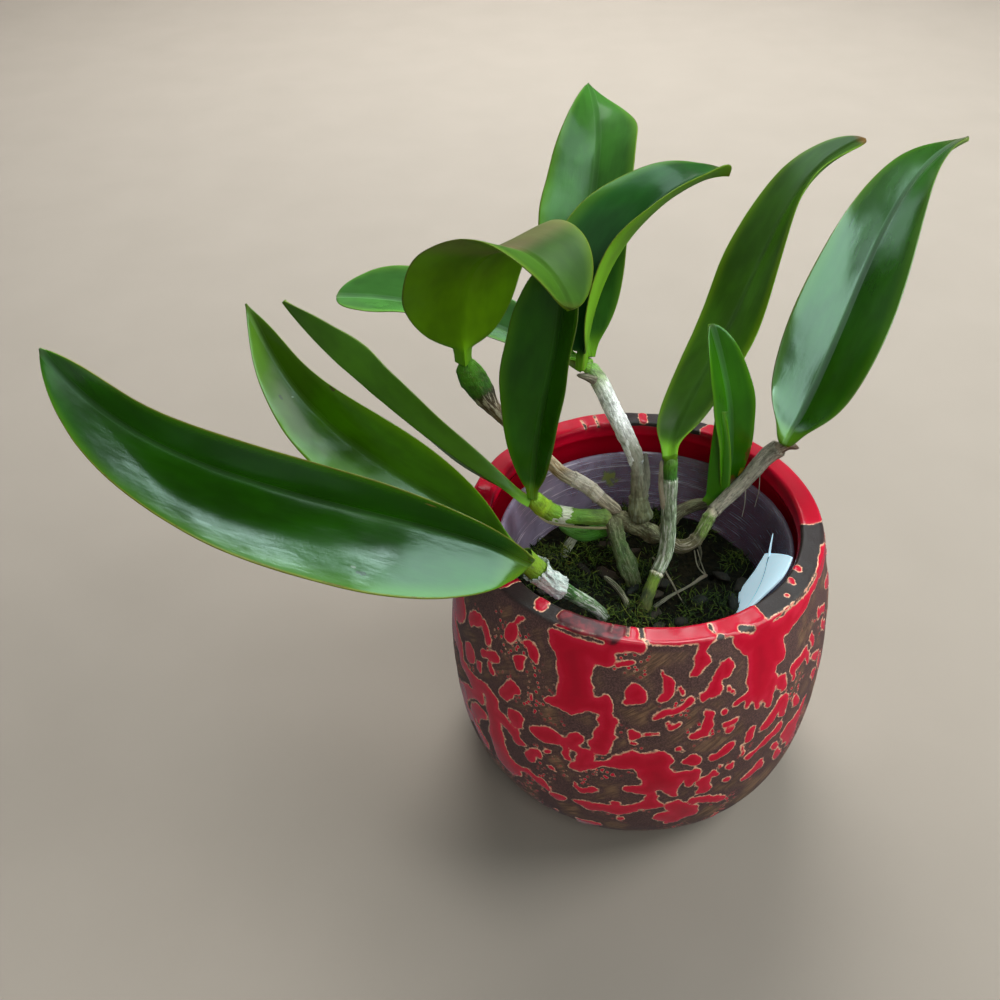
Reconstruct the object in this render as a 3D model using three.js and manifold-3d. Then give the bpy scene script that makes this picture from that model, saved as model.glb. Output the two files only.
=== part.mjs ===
// Potted orchid: a leafy cattlianthe in a clear grower pot, standing in a round glazed pot.
// Millimetres, +Z up. The origin is the centre of the glazed pot's foot, on the surface it
// stands on, and the side seen in the usual view faces -Y.
import * as THREE from 'three';
import { mergeVertices } from 'three/addons/utils/BufferGeometryUtils.js';
import Module from 'manifold-3d';

const wasm = await Module();
wasm.setup();

const clearance = 0.3; // gap kept between pieces that touch

// Glazed outer pot
const potHeight = 96;
const potRimRadius = 54;
const potMouthRadius = 47;
const potFootRadius = 42;
const potFloor = 6;
const potFacets = 48;

// Clear grower pot: wall radius is given at the floor and at the rim
const growerHeight = 81;
const growerRimRadius = 44.2;
const growerFootRadius = 33;
const growerWall = 0.9;
const growerFacets = 40;
const growerFoot = potFloor + clearance;
const growerRim = growerFoot + growerHeight;

// The soft wall of the grower pot is pushed out of round towards its rim
const slumpStart = 40; // height where the wall begins to leave the round
const slumpWidth = 1.2; // added to the radius along X and taken off along Y at the rim
const slumpShift = [1.1, -0.5];

// Potting mix
const mixLevel = 65;
const mixRings = [36, 30, 20, 10, 1.5];
const mixSpokes = 30;

// Plant label: a card bent round the wall of the grower pot that stands in the mix and leans
// out over the rim. Each row gives a height and the compass angles of the card's two edges.
const labelLean = THREE.MathUtils.degToRad(25);
const labelThickness = 0.7;
const labelRows = [
  [60, -7, -36], [63.5, -6, -38], [68, -5, -39], [73, -4, -40], [78.5, -1.5, -40],
  [82, -7, -39], [85, -11.7, -38], [88, -16.4, -37], [91, -21.5, -35],
];
const labelColumns = 4;

// Leaves: thick along the midrib and thin at the margin
const bladeRows = 18;
const bladeColumns = [-1, -0.5, 0, 0.5, 1];
const midribThickness = 1.6;
const marginThickness = 0.8;
const neckHalfWidth = 2.5;
const neckFold = 50; // degrees, the fold of a leaf where it clasps its cane
const neckSpan = 0.07;
const tipHalfWidth = 0.45;
const keelRounding = 0.2;
const footReach = 1.5; // how far a leaf runs back into its cane before it is cut clear of it

// Each leaf is laid out along its midrib. heading is the compass angle of the midrib
// (0 along +X, 90 along +Y), rise its slope above the horizontal, roll the turn of the blade
// about the midrib and fold the lift of each half, all in degrees and in equal steps from
// foot to tip. swell and taper are the powers of the outline towards foot and tip.
const leaves = {
  leaf_long_left: {
    cane: 'cane_front_left', foot: [-37, -26.5, 104], length: 152, width: 46,
    swell: 0.51, taper: 0.81, heading: [192, 172, 156, 137], rise: [39, 14, 13, 33],
    roll: [-96, -70, -58, -39], fold: [47, 46, 48, 18], colour: 0x2c6a18,
  },
  leaf_second_left: {
    cane: 'cane_front_left', foot: [-39, -23, 103], length: 132, width: 30,
    swell: 0.78, taper: 0.95, heading: [141, 140, 128, 122], rise: [18, 6, 13, 37],
    roll: [-47, -40, -38, -6], fold: [37, 33, 43, 27], colour: 0x33701a,
  },
  leaf_narrow_left: {
    cane: 'cane_green_shoot', beside: ['leaf_dark_upright'],
    foot: [-35.5, 9, 95], length: 114, width: 21, swell: 0.9, taper: 0.74,
    heading: [167, 139, 132, 132], rise: [32, 14, 12, 30], roll: [98, 82, 76, 56],
    fold: [47, 22, 42, 23], colour: 0x2f6a16,
  },
  leaf_dark_upright: {
    cane: 'cane_green_shoot', foot: [-32.5, 11, 97], length: 74, width: 31,
    swell: 0.77, taper: 0.5, heading: [72, 50, 70], rise: [86, 71, 93],
    roll: [-5, -6, -20], fold: [31, 35, 29], colour: 0x1c4c0c,
  },
  leaf_curled_front: {
    cane: 'cane_back_left', foot: [-53, 34, 131.5], length: 91, width: 40,
    swell: 0.35, taper: 0.49, heading: [-86, -63, -57, -71], rise: [105, 59, 17, -35],
    roll: [3, -4, -6, -32], fold: [34, 4, 17, 8], colour: 0x3f6a16,
  },
  leaf_back_left: {
    cane: 'cane_white', beside: ['leaf_top'],
    foot: [-16.5, 45.5, 121], length: 93, width: 28.5, swell: 0.84, taper: 0.53,
    heading: [153, 149, 170], rise: [14, 2, -4], roll: [-6, -9, -19], fold: [16, 29, 17],
    colour: 0x3c8230,
  },
  leaf_top: {
    cane: 'cane_white', foot: [-13.5, 47.5, 124], length: 113, width: 36,
    swell: 0.74, taper: 0.81, heading: [93, 80, 102], rise: [56, 25, 19],
    roll: [22, -26, 31], fold: [19, 20, 5], colour: 0x3c7a35,
  },
  leaf_arching: {
    cane: 'cane_white', foot: [-15.5, 41, 124], length: 84, width: 39.5,
    swell: 0.45, taper: 0.75, heading: [71, 43, 25, 41], rise: [79, 54, 28, -19],
    roll: [-21, -12, -10, -16], fold: [48, 51, 31, 35], colour: 0x2b6234,
  },
  leaf_tall_right: {
    cane: 'cane_upright', foot: [8, 4, 112.5], length: 139, width: 30,
    swell: 0.81, taper: 0.61, heading: [83, 55, 53, 2], rise: [1, 26, 36, 17],
    roll: [-15, -24, -35, 12], fold: [24, 5, 23, 17], colour: 0x335a14,
  },
  leaf_young: {
    cane: 'rhizome', beside: ['cane_right', 'leaf_young_sheath'],
    foot: [29.2, 20.2, 84.8], length: 62, width: 17.5, swell: 0.69, taper: 0.55,
    heading: [104, 141, 138], rise: [96, 79, 64], roll: [16, -19, -14], fold: [36, 23, 26],
    colour: 0x387a14,
  },
  leaf_young_sheath: {
    cane: 'rhizome', beside: ['cane_right'],
    foot: [25.2, 17.6, 85], length: 35, width: 11, swell: 0.4, taper: 0.9,
    heading: [180, 180, 180], rise: [86, 90, 91], roll: [0, 0, 0], fold: [60, 62, 66],
    colour: 0x3a8a12,
  },
  leaf_far_right: {
    cane: 'cane_right', foot: [47, 19, 106.5], length: 130, width: 35,
    swell: 0.5, taper: 0.85, heading: [47, 57, 52, 26], rise: [41, 35, 25, 10],
    roll: [9, 4, 5, -23], fold: [23, 33, 43, 24], colour: 0x2a6a26,
  },
};

// Stems: points along the middle, each with the stem's radius there
const stemSides = 8;
const stemSteps = 2; // rings between two listed points
const rhizomeStems = [
  [[0.6, 5, 56, 2.1], [-1, 0.4, 66, 2.3], [-3.3, 3.4, 72, 2.7], [-6, 9, 78.5, 2.5], [-7.2, 12.5, 84.5, 3]],
  [[-7.2, 12.5, 84.5, 2.8], [-2.5, 13.5, 82, 3.2], [2.5, 11.5, 80.5, 3.6], [8, 6.2, 79, 3.2]],
  [[8, 6.8, 79.5, 2.4], [13.5, 14.5, 82, 2], [20, 17.5, 83, 1.9], [27.4, 18.6, 83.4, 2]],
];
const canes = {
  cane_front_left: {
    colour: 0xb9bcae,
    stems: [[
      [-11.5, -13, 56, 2], [-12.3, -15, 66, 2], [-16.5, -17.5, 74, 2], [-21.9, -20.5, 81.5, 2.1],
      [-30, -23, 91, 2.9], [-35.5, -24.7, 99.5, 2.7], [-37.4, -25, 102.6, 2.4],
    ]],
  },
  cane_green_shoot: {
    colour: 0x5a9a20,
    stems: [[
      [-7.5, 12.5, 83.8, 2.4], [-12, 11.8, 84.4, 2.7], [-18, 11.4, 85.3, 2.8], [-25.5, 11.3, 86.7, 3],
      [-30, 12, 89.3, 3.1], [-33.3, 10.8, 94.8, 2.7],
    ]],
  },
  cane_back_left: {
    colour: 0x9a8a66,
    stems: [[
      [-7, 14.5, 86, 2.4], [-11.2, 16, 89, 2.4], [-15, 18.6, 91.6, 2.3], [-24, 20.8, 96.8, 2.2],
      [-28.5, 23.5, 100.5, 2.1], [-43.5, 30.5, 114, 2.2], [-51, 34.8, 124.5, 3.1], [-53, 35, 130, 2.8],
    ]],
  },
  cane_white: {
    colour: 0xc3c6b6,
    stems: [
      [
        [2.2, 12.8, 80.5, 3.6], [1.5, 15, 87, 4.1], [0.8, 16.5, 94, 3.1], [0.1, 19.8, 101, 2.8],
        [-2.4, 26, 105.8, 2.7], [-5.8, 34.3, 110, 2.8], [-10.2, 42.5, 116.8, 2.7], [-14, 44.5, 121.5, 2.6],
      ],
      [[2.4, 15.5, 89, 2.4], [4, 18, 97, 1.5], [4.2, 21, 104.5, 0.6]],
      [[-10.5, 41.5, 117, 2], [-14, 41.5, 118.6, 1.2], [-17.4, 41.6, 119.4, 0.5]],
      [[-13.6, 44.5, 121, 2.4], [-13.6, 46.4, 123, 2.2]],
      [[-13.8, 44, 121, 2.4], [-15.1, 42, 123, 2.2]],
    ],
  },
  cane_upright: {
    colour: 0xaab39a,
    stems: [
      [
        [1, -10, 57, 2.1], [0.9, -11, 65, 2.1], [4.5, -4.5, 71.5, 2], [8.3, 0.3, 77.5, 2.2],
        [9, 2, 84, 2.3], [8.4, 3, 97, 2.2], [7.8, 3.7, 111.2, 2.2],
      ],
      [[7.8, 2.9, 95, 1.8], [5.7, 3, 104, 1.1], [5, 3.8, 113, 0.5]],
    ],
  },
  cane_right: {
    colour: 0x9d9a84,
    stems: [
      [
        [9.5, 6, 78.5, 2.2], [14, 4, 77.5, 2.3], [18.8, 5, 79.6, 2.1], [24.2, 10, 86, 2],
        [35, 16, 94.3, 2.2], [42, 19.6, 101.2, 2.6], [46.2, 19.6, 104.9, 2.5],
      ],
      [[44.2, 19.4, 103.3, 2], [48, 19.2, 105, 1.4], [51, 18.4, 104.4, 0.6]],
    ],
  },
};
const bud = [[-6.5, 11, 79.5, 1.4], [-10.5, 13.8, 76.8, 2.4], [-17, 12.9, 76, 2.2], [-24.3, 16.4, 76.6, 0.6]];
const roots = {
  root_tip: [[-13.5, 22, 60, 1.2], [-15.5, 22, 66.5, 1.3], [-18.5, 19.8, 68.6, 1.4], [-21.8, 16.6, 65.5, 1.5],
    [-23, 15.2, 60, 1.2]],
  root_thin: [[20, 5.8, 77, 0.7], [21.8, 8, 70.5, 0.6], [22, 9.5, 60, 0.6]],
  root_flat: [[5.8, -9.5, 60, 1], [8.5, -6.5, 66.6, 1], [16, -1.5, 68.6, 1.1], [22.8, 1.8, 67.6, 1],
    [26.5, 3.6, 60, 1]],
};

// Closed three.js geometry to solid and back
function solidOf(geometry) {
  const bare = geometry.index ? geometry.toNonIndexed() : geometry.clone();
  bare.deleteAttribute('normal');
  bare.deleteAttribute('uv');
  const merged = mergeVertices(bare, 1e-4);
  return new wasm.Manifold(new wasm.Mesh({
    numProp: 3,
    vertProperties: new Float32Array(merged.attributes.position.array),
    triVerts: new Uint32Array(merged.index.array),
  }));
}

function geometryOf(solid) {
  const mesh = solid.getMesh();
  const geometry = new THREE.BufferGeometry();
  geometry.setAttribute('position', new THREE.BufferAttribute(new Float32Array(mesh.vertProperties), 3));
  geometry.setIndex(new THREE.BufferAttribute(new Uint32Array(mesh.triVerts), 1));
  geometry.computeVertexNormals();
  return geometry;
}

function largestBody(solid) {
  return solid.decompose().reduce((best, body) => (body.volume() > best.volume() ? body : best));
}

// Closed skin from rings of equal point count, each ring counter-clockwise seen from the end
function skin(rings) {
  const sides = rings[0].length;
  const points = rings.flat();
  const triangles = [];
  for (let i = 0; i < rings.length - 1; i++) {
    for (let j = 0; j < sides; j++) {
      const a = i * sides + j;
      const b = i * sides + (j + 1) % sides;
      triangles.push(a, b, b + sides, a, b + sides, a + sides);
    }
  }
  const last = (rings.length - 1) * sides;
  for (let j = 1; j < sides - 1; j++) {
    triangles.push(0, j + 1, j);
    triangles.push(last, last + j, last + j + 1);
  }
  const geometry = new THREE.BufferGeometry().setFromPoints(points);
  geometry.setIndex(triangles);
  geometry.computeVertexNormals();
  return geometry;
}

// Round stem of changing radius along a smooth curve. grow widens it on all sides.
function stem(points, grow = 0) {
  const curve = new THREE.CatmullRomCurve3(points.map(([x, y, z]) => new THREE.Vector3(x, y, z)));
  const steps = (points.length - 1) * stemSteps;
  const frames = curve.computeFrenetFrames(steps, false);
  const rings = [];
  for (let i = 0; i <= steps; i++) {
    const t = curve.getUtoTmapping(i / steps) * (points.length - 1);
    const k = Math.min(Math.floor(t), points.length - 2);
    const radius = THREE.MathUtils.lerp(points[k][3], points[k + 1][3], t - k) + grow;
    const centre = curve.getPointAt(i / steps);
    if (i === 0) centre.addScaledVector(frames.tangents[0], -grow);
    if (i === steps) centre.addScaledVector(frames.tangents[steps], grow);
    rings.push(Array.from({ length: stemSides }, (_, j) => {
      const angle = (j / stemSides) * 2 * Math.PI;
      return centre.clone()
        .addScaledVector(frames.normals[i], Math.cos(angle) * radius)
        .addScaledVector(frames.binormals[i], Math.sin(angle) * radius);
    }));
  }
  return solidOf(skin(rings));
}

function stemGroup(stems, grow = 0) {
  return stems.map((points) => stem(points, grow)).reduce((all, one) => all.add(one));
}

// Smooth curve through equally spaced values, as one polynomial
function through(values, u) {
  const last = values.length - 1;
  return values.reduce((sum, value, i) => {
    let weight = 1;
    for (let j = 0; j <= last; j++) if (j !== i) weight *= (u * last - j) / (i - j);
    return sum + value * weight;
  }, 0);
}

// Direction along the midrib, across the blade to its left, and out of its upper face
function bladeAxes(leaf, u) {
  const heading = THREE.MathUtils.degToRad(through(leaf.heading, u));
  const rise = THREE.MathUtils.degToRad(through(leaf.rise, u));
  const roll = THREE.MathUtils.degToRad(through(leaf.roll, u));
  const level = Math.cos(rise);
  const along = new THREE.Vector3(level * Math.cos(heading), level * Math.sin(heading), Math.sin(rise));
  const across = new THREE.Vector3(-Math.sin(heading), Math.cos(heading), 0);
  const face = along.clone().cross(across);
  return {
    along,
    across: across.clone().multiplyScalar(Math.cos(roll)).addScaledVector(face, Math.sin(roll)),
    face: face.clone().multiplyScalar(Math.cos(roll)).addScaledVector(across, -Math.sin(roll)),
  };
}

// Leaf blade: at each station the two halves rise from the midrib by the fold, and the upper
// and lower faces lie apart by the thickness, split into triangles alike.
function blade(leaf, grow = 0) {
  const peak = leaf.swell / (leaf.swell + leaf.taper);
  const fullest = peak ** leaf.swell * (1 - peak) ** leaf.taper;
  const lip = Math.sqrt(1 + keelRounding ** 2) - keelRounding;
  const reach = footReach + grow;
  const midrib = new THREE.Vector3(...leaf.foot).addScaledVector(bladeAxes(leaf, 0).along, -reach);
  const rings = [];
  for (let i = 0; i <= bladeRows; i++) {
    const u = i / bladeRows;
    const { across, face } = bladeAxes(leaf, u);
    const stride = leaf.length / bladeRows + (i === 1 ? reach : 0) + (i === bladeRows ? grow : 0);
    if (i > 0) midrib.addScaledVector(bladeAxes(leaf, u - 0.5 / bladeRows).along, stride);
    const swelling = (leaf.width / 2) * (u ** leaf.swell * (1 - u) ** leaf.taper) / fullest;
    const halfWidth = Math.hypot(swelling, neckHalfWidth * (1 - u) ** 3, tipHalfWidth) + grow;
    const clasp = Math.exp(-((u / neckSpan) ** 2));
    const fold = THREE.MathUtils.degToRad(THREE.MathUtils.lerp(through(leaf.fold, u), neckFold, clasp));
    const section = (side) => (v) => {
      const plain = THREE.MathUtils.lerp(midribThickness, marginThickness, Math.abs(v));
      const thickness = (plain + 2 * grow) / Math.cos(fold);
      const lift = (Math.hypot(v, keelRounding) - keelRounding) / lip;
      return midrib.clone()
        .addScaledVector(across, halfWidth * v * Math.cos(fold))
        .addScaledVector(face, halfWidth * lift * Math.sin(fold) + side * thickness / 2);
    };
    rings.push([...bladeColumns.map(section(-1)), ...bladeColumns.map(section(1)).reverse()]);
  }
  return solidOf(sheetSkin(rings));
}

// Like skin, but for thin sheets: the second half of each ring lies over the first one, and
// the end caps join the two faces strip by strip
function sheetSkin(rings) {
  const sides = rings[0].length;
  const triangles = [];
  const half = sides / 2;
  for (let i = 0; i < rings.length - 1; i++) {
    for (let j = 0; j < sides; j++) {
      const a = i * sides + j;
      const b = i * sides + (j + 1) % sides;
      const upper = j >= half && j < sides - 1;
      if (upper) triangles.push(a, b, a + sides, b, b + sides, a + sides);
      else triangles.push(a, b, b + sides, a, b + sides, a + sides);
    }
  }
  const last = (rings.length - 1) * sides;
  for (let j = 0; j < half - 1; j++) {
    const k = sides - 1 - j;
    triangles.push(j, k, k - 1, j, k - 1, j + 1);
    triangles.push(last + j, last + k - 1, last + k, last + j, last + j + 1, last + k - 1);
  }
  const geometry = new THREE.BufferGeometry().setFromPoints(rings.flat());
  geometry.setIndex(triangles);
  geometry.computeVertexNormals();
  return geometry;
}

function lathe(outline, facets) {
  const geometry = new THREE.LatheGeometry(outline.map(([r, z]) => new THREE.Vector2(r, z)), facets);
  return geometry.rotateX(Math.PI / 2);
}

function curvedWall(points, steps) {
  const curve = new THREE.SplineCurve(points.map(([r, z]) => new THREE.Vector2(r, z)));
  return curve.getPoints(steps).map((p) => [p.x, p.y]);
}

// Round-bellied pot with a thick flat-topped rim and a small step inside the mouth
function glazedPot() {
  const outside = curvedWall([
    [potFootRadius, 0], [49.5, 2.4], [55.8, 11], [59.3, 24], [60.9, 47], [59, 72],
    [55.6, 88], [potRimRadius, potHeight - 1.6],
  ], 13);
  const rim = [
    [potRimRadius - 1.2, potHeight], [potMouthRadius + 1, potHeight], [potMouthRadius, potHeight - 1],
    [potMouthRadius - 0.4, potHeight - 4.6],
  ];
  const inside = curvedWall([
    [47.6, potHeight - 6], [50.5, 82], [53.6, 70], [55.2, 48], [53.5, 26], [46, 10.5], [38, potFloor],
  ], 9);
  return solidOf(lathe([[0, 0], ...outside, ...rim, ...inside, [0, potFloor]], potFacets));
}

function growerWallRadius(z) {
  return THREE.MathUtils.mapLinear(z, growerFoot, growerRim, growerFootRadius, growerRimRadius - 0.6);
}

// Moves round geometry the way the grower pot has slumped
function slump(geometry) {
  const position = geometry.attributes.position;
  for (let i = 0; i < position.count; i++) {
    const x = position.getX(i);
    const y = position.getY(i);
    const share = THREE.MathUtils.smoothstep(position.getZ(i), slumpStart, growerRim);
    const angle = Math.atan2(y, x);
    const pushed = Math.min(Math.hypot(x, y) / growerRimRadius, 1) * share;
    const out = slumpWidth * Math.cos(2 * angle);
    position.setX(i, x + pushed * (out * Math.cos(angle) + slumpShift[0]));
    position.setY(i, y + pushed * (out * Math.sin(angle) + slumpShift[1]));
  }
  return geometry;
}

function growerPot() {
  const lip = growerRim - 2.4;
  const wall = [1.5, 20, 40, 52, 62, 71].map((h) => [growerWallRadius(growerFoot + h), growerFoot + h]);
  const inner = [...wall].reverse().map(([r, z]) => [r - growerWall, z]);
  const outline = [
    [0, growerFoot], [growerFootRadius - 1.5, growerFoot], ...wall,
    [growerWallRadius(lip), lip], [growerRimRadius, lip + 0.4], [growerRimRadius, growerRim],
    [growerWallRadius(growerRim) - growerWall, growerRim], ...inner,
    [growerFootRadius - 2.5, growerFoot + growerWall], [0, growerFoot + growerWall],
  ];
  return solidOf(slump(lathe(outline, growerFacets)));
}

// Height of the mix: low mounds and hollows in two crossing rows
function mixHeight(x, y) {
  const mounds = 1.2 * Math.sin(0.19 * x + 0.6) * Math.cos(0.16 * y - 0.4);
  return mixLevel + mounds + 0.7 * Math.sin(0.31 * x - 0.27 * y);
}

function pottingMix() {
  const inner = (z) => growerWallRadius(z) - growerWall - clearance;
  const base = growerFoot + growerWall + clearance;
  const ring = (radius, height) => Array.from({ length: mixSpokes }, (_, j) => {
    const angle = (j / mixSpokes) * 2 * Math.PI;
    const x = radius * Math.cos(angle);
    const y = radius * Math.sin(angle);
    return new THREE.Vector3(x, y, height ?? mixHeight(x, y));
  });
  const rings = [
    ring(inner(base + 2.5) - 2, base), ring(inner(base + 2.5) - clearance, base + 2.5),
    ring(inner(slumpStart) - clearance, slumpStart), ring(inner(52) - clearance, 52),
    ring(inner(mixLevel) - 2 * clearance), ...mixRings.map((radius) => ring(radius)),
  ];
  let mix = solidOf(slump(skin(rings)));
  const planted = [rhizomeStems, Object.values(canes).flatMap((cane) => cane.stems), Object.values(roots)]
    .flat().filter((points) => points.some(([, , z]) => z < mixLevel));
  for (const points of planted) mix = mix.subtract(stem(points, clearance));
  return largestBody(mix.subtract(plantLabel(clearance)));
}

// Curved card between the two edges of each row, thickened by grow on every side
function plantLabel(grow = 0) {
  const half = labelThickness / 2 + grow;
  const rings = labelRows.map(([height, left, right], i) => {
    const z = height + (i === 0 ? -grow : 0);
    const radius = growerWallRadius(growerRim) - growerWall - 1 + (z - growerRim) * Math.tan(labelLean);
    const side = (offset) => Array.from({ length: labelColumns + 1 }, (_, j) => {
      const margin = THREE.MathUtils.radToDeg(grow / radius) * (j === 0 ? 1 : j === labelColumns ? -1 : 0);
      const angle = THREE.MathUtils.degToRad(THREE.MathUtils.lerp(left, right, j / labelColumns) + margin);
      const reach = radius + slumpWidth * Math.cos(2 * angle) + offset * half / Math.cos(labelLean);
      const x = reach * Math.cos(angle) + slumpShift[0];
      return new THREE.Vector3(x, reach * Math.sin(angle) + slumpShift[1], z);
    });
    return [...side(-1), ...side(1).reverse()];
  });
  return solidOf(sheetSkin(rings));
}

const orchid = new THREE.Group();

function place(name, solid, colour, roughness, extra = {}) {
  const material = new THREE.MeshStandardMaterial({ color: colour, roughness, metalness: 0, ...extra });
  const mesh = new THREE.Mesh(geometryOf(solid), material);
  mesh.name = name;
  orchid.add(mesh);
}

place('cachepot', glazedPot(), 0x8e1220, 0.25);
place('grower_pot', growerPot(), 0x8a8194, 0.3, { transparent: true, opacity: 0.45 });
place('potting_mix', pottingMix(), 0x232a12, 0.95);
place('plant_label', plantLabel(), 0xdfe8ee, 0.5);

const rhizomeGrown = stemGroup(rhizomeStems, clearance);

// A cane starts just clear of the rhizome, and the left one behind also clear of the shoot
function caneBody(name, cane) {
  const body = stemGroup(cane.stems).subtract(rhizomeGrown);
  const beside = name === 'cane_back_left' ? stemGroup(canes.cane_green_shoot.stems, clearance) : null;
  return largestBody(beside ? body.subtract(beside) : body);
}

place('rhizome', stemGroup(rhizomeStems), 0x5d5f42, 0.85);
place('growing_bud', largestBody(stem(bud).subtract(rhizomeGrown)), 0x3f7d1c, 0.4);
for (const [name, points] of Object.entries(roots)) place(name, stem(points), 0xa9ab93, 0.8);
for (const [name, cane] of Object.entries(canes)) {
  place(name, caneBody(name, cane), cane.colour, 0.7);
}

// A leaf starts just clear of what it grows from, and of what stands close beside it
function grown(name) {
  if (name === 'rhizome') return rhizomeGrown;
  return name in canes ? stemGroup(canes[name].stems, clearance) : blade(leaves[name], 1.5 * clearance);
}

for (const [name, leaf] of Object.entries(leaves)) {
  const near = [leaf.cane, ...(leaf.beside ?? [])];
  const body = near.reduce((rest, other) => rest.subtract(grown(other)), blade(leaf));
  place(name, largestBody(body), leaf.colour, 0.35);
}

export default orchid;
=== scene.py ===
# Potted orchid on a plain floor: long folded leaves on slender canes, a mossy bark mix in a clear
# grower pot, and a red and charcoal glazed pot round it. Shapes are worked out in millimetres.
import bpy
import numpy as np
from mathutils import Matrix, Vector


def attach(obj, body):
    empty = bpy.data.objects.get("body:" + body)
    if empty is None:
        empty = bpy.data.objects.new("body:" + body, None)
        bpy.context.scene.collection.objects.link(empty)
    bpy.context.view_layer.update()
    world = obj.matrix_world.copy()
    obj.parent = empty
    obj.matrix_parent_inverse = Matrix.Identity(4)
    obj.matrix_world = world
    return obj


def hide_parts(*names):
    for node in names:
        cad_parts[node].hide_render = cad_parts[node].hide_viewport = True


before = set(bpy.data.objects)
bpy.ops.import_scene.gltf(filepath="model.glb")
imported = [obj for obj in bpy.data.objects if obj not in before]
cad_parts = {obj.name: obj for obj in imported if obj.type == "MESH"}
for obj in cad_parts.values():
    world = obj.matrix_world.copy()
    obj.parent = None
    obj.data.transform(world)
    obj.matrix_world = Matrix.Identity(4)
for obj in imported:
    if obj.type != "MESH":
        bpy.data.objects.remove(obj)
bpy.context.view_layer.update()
mm = 0.001
print("frame in place:", len(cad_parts), "solids")


# Value noise: random numbers on whole-number lattice points, blended with a smoothstep between
# them. Points are (..., 3) in lattice steps, and the result runs from -1 to 1.
def lumps(points, seed=0):
    points = np.asarray(points, float)
    cell = np.floor(points).astype(np.int64)
    part = points - cell
    part = part * part * (3 - 2 * part)
    strides, seedStride, stir = (73856093, 19349663, 83492791), 2654435761, 1274126177  # large primes
    low31, low16 = 0x7FFFFFFF, 0xFFFF
    total = 0
    for corner in np.ndindex(2, 2, 2):
        key = np.bitwise_xor.reduce((cell + corner) * strides, axis=-1)
        key = (key + seed * seedStride) & low31
        key = (key ^ (key >> 13)) * stir & low31
        drawn = ((key ^ (key >> 16)) & low16) / (low16 / 2) - 1
        weight = np.where(corner, part, 1 - part)
        total = total + weight[..., 0] * weight[..., 1] * weight[..., 2] * drawn
    return total


# Noise of several sizes added up, each half the size and half the strength of the one before
def rough(points, seed=0, octaves=3):
    return sum(lumps(np.asarray(points) * 2 ** k, seed + k) / 2 ** k for k in range(octaves)) / 1.5


def ease(value, low, high):  # 0 below low, 1 above high, an S curve between them
    t = np.clip((value - low) / (high - low), 0, 1)
    return t * t * (3 - 2 * t)


def unit(vectors):
    return vectors / np.linalg.norm(vectors, axis=-1, keepdims=True)


def toward(heading, rise):  # the direction at a compass angle and a height angle, in radians
    return np.stack(np.broadcast_arrays(
        np.cos(rise) * np.cos(heading), np.cos(rise) * np.sin(heading), np.sin(rise)), -1)


def leftOf(heading):  # the level direction to the left of a compass angle
    return np.stack([-np.sin(heading), np.cos(heading), 0 * heading], -1)


# A mesh object from points in millimetres and arrays of faces. values are numbers or vectors for each
# point, kept as attributes that the finishes read.
def piece(name, points, faces, values, finish, smooth=True):
    points = np.asarray(points, float).reshape(-1, 3)
    mesh = bpy.data.meshes.new(name)
    mesh.vertices.add(len(points))
    mesh.vertices.foreach_set("co", (points * mm).astype(np.float32).ravel())
    faces = [np.asarray(f, np.int32) for f in faces if len(f)]
    corners = np.concatenate([f.ravel() for f in faces])
    counts = np.concatenate([np.full(len(f), f.shape[1]) for f in faces])
    mesh.loops.add(len(corners))
    mesh.loops.foreach_set("vertex_index", corners)
    mesh.polygons.add(len(counts))
    mesh.polygons.foreach_set("loop_start", np.concatenate([[0], np.cumsum(counts)[:-1]]).astype(np.int32))
    mesh.update(calc_edges=True)
    mesh.polygons.foreach_set("use_smooth", np.full(len(counts), smooth))
    for key, value in values.items():
        value = np.asarray(value, np.float32)
        vector = value.size == 3 * len(points)
        kept = mesh.attributes.new(key, "FLOAT_VECTOR" if vector else "FLOAT", "POINT")
        kept.data.foreach_set("vector" if vector else "value", value.ravel())
    mesh.validate()
    mesh.materials.append(finish)
    made = bpy.data.objects.new(name, mesh)
    bpy.context.scene.collection.objects.link(made)
    return made


# Faces of a grid of rows x cols points, closed round the columns, and also round the rows if
# closedRows, else with a fan to a middle point at each end
def tubeFaces(rows, cols, closedRows=False):
    i, j = np.meshgrid(np.arange(rows if closedRows else rows - 1), np.arange(cols), indexing="ij")
    up, beside = (i + 1) % rows, (j + 1) % cols
    quads = np.stack([i * cols + j, i * cols + beside, up * cols + beside, up * cols + j], -1).reshape(-1, 4)
    if closedRows:
        return [quads]
    k = np.arange(cols)
    after, start, middle = (k + 1) % cols, (rows - 1) * cols, np.full(cols, rows * cols)
    first = np.stack([middle, after, k], -1)
    last = np.stack([middle + 1, start + k, start + after], -1)
    return [quads, np.concatenate([first, last])]


# A closed tube from a grid of rings (rows, cols, 3), with a middle point added at each end
def closedTube(rings, values=None):
    rows, cols = rings.shape[:2]
    ends = np.stack([rings[0].mean(0), rings[-1].mean(0)])
    points = np.concatenate([rings.reshape(-1, 3), ends])
    kept = {}
    for key, value in (values or {}).items():
        value = np.asarray(value, float).reshape(rows * cols, -1)
        kept[key] = np.concatenate([value, value[:cols].mean(0)[None], value[-cols:].mean(0)[None]])
    return points, tubeFaces(rows, cols), kept


def joined(parts):  # several point-and-face sets as one
    points, faces, values, start = [], [], {}, 0
    for p, fs, vs in parts:
        points.append(p)
        faces += [f + start for f in fs]
        start += len(p)
        for key, value in vs.items():
            values.setdefault(key, []).append(value)
    faces = [np.concatenate([f for f in faces if f.shape[1] == n]) for n in {f.shape[1] for f in faces}]
    return np.concatenate(points), faces, {key: np.concatenate(value) for key, value in values.items()}


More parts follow.
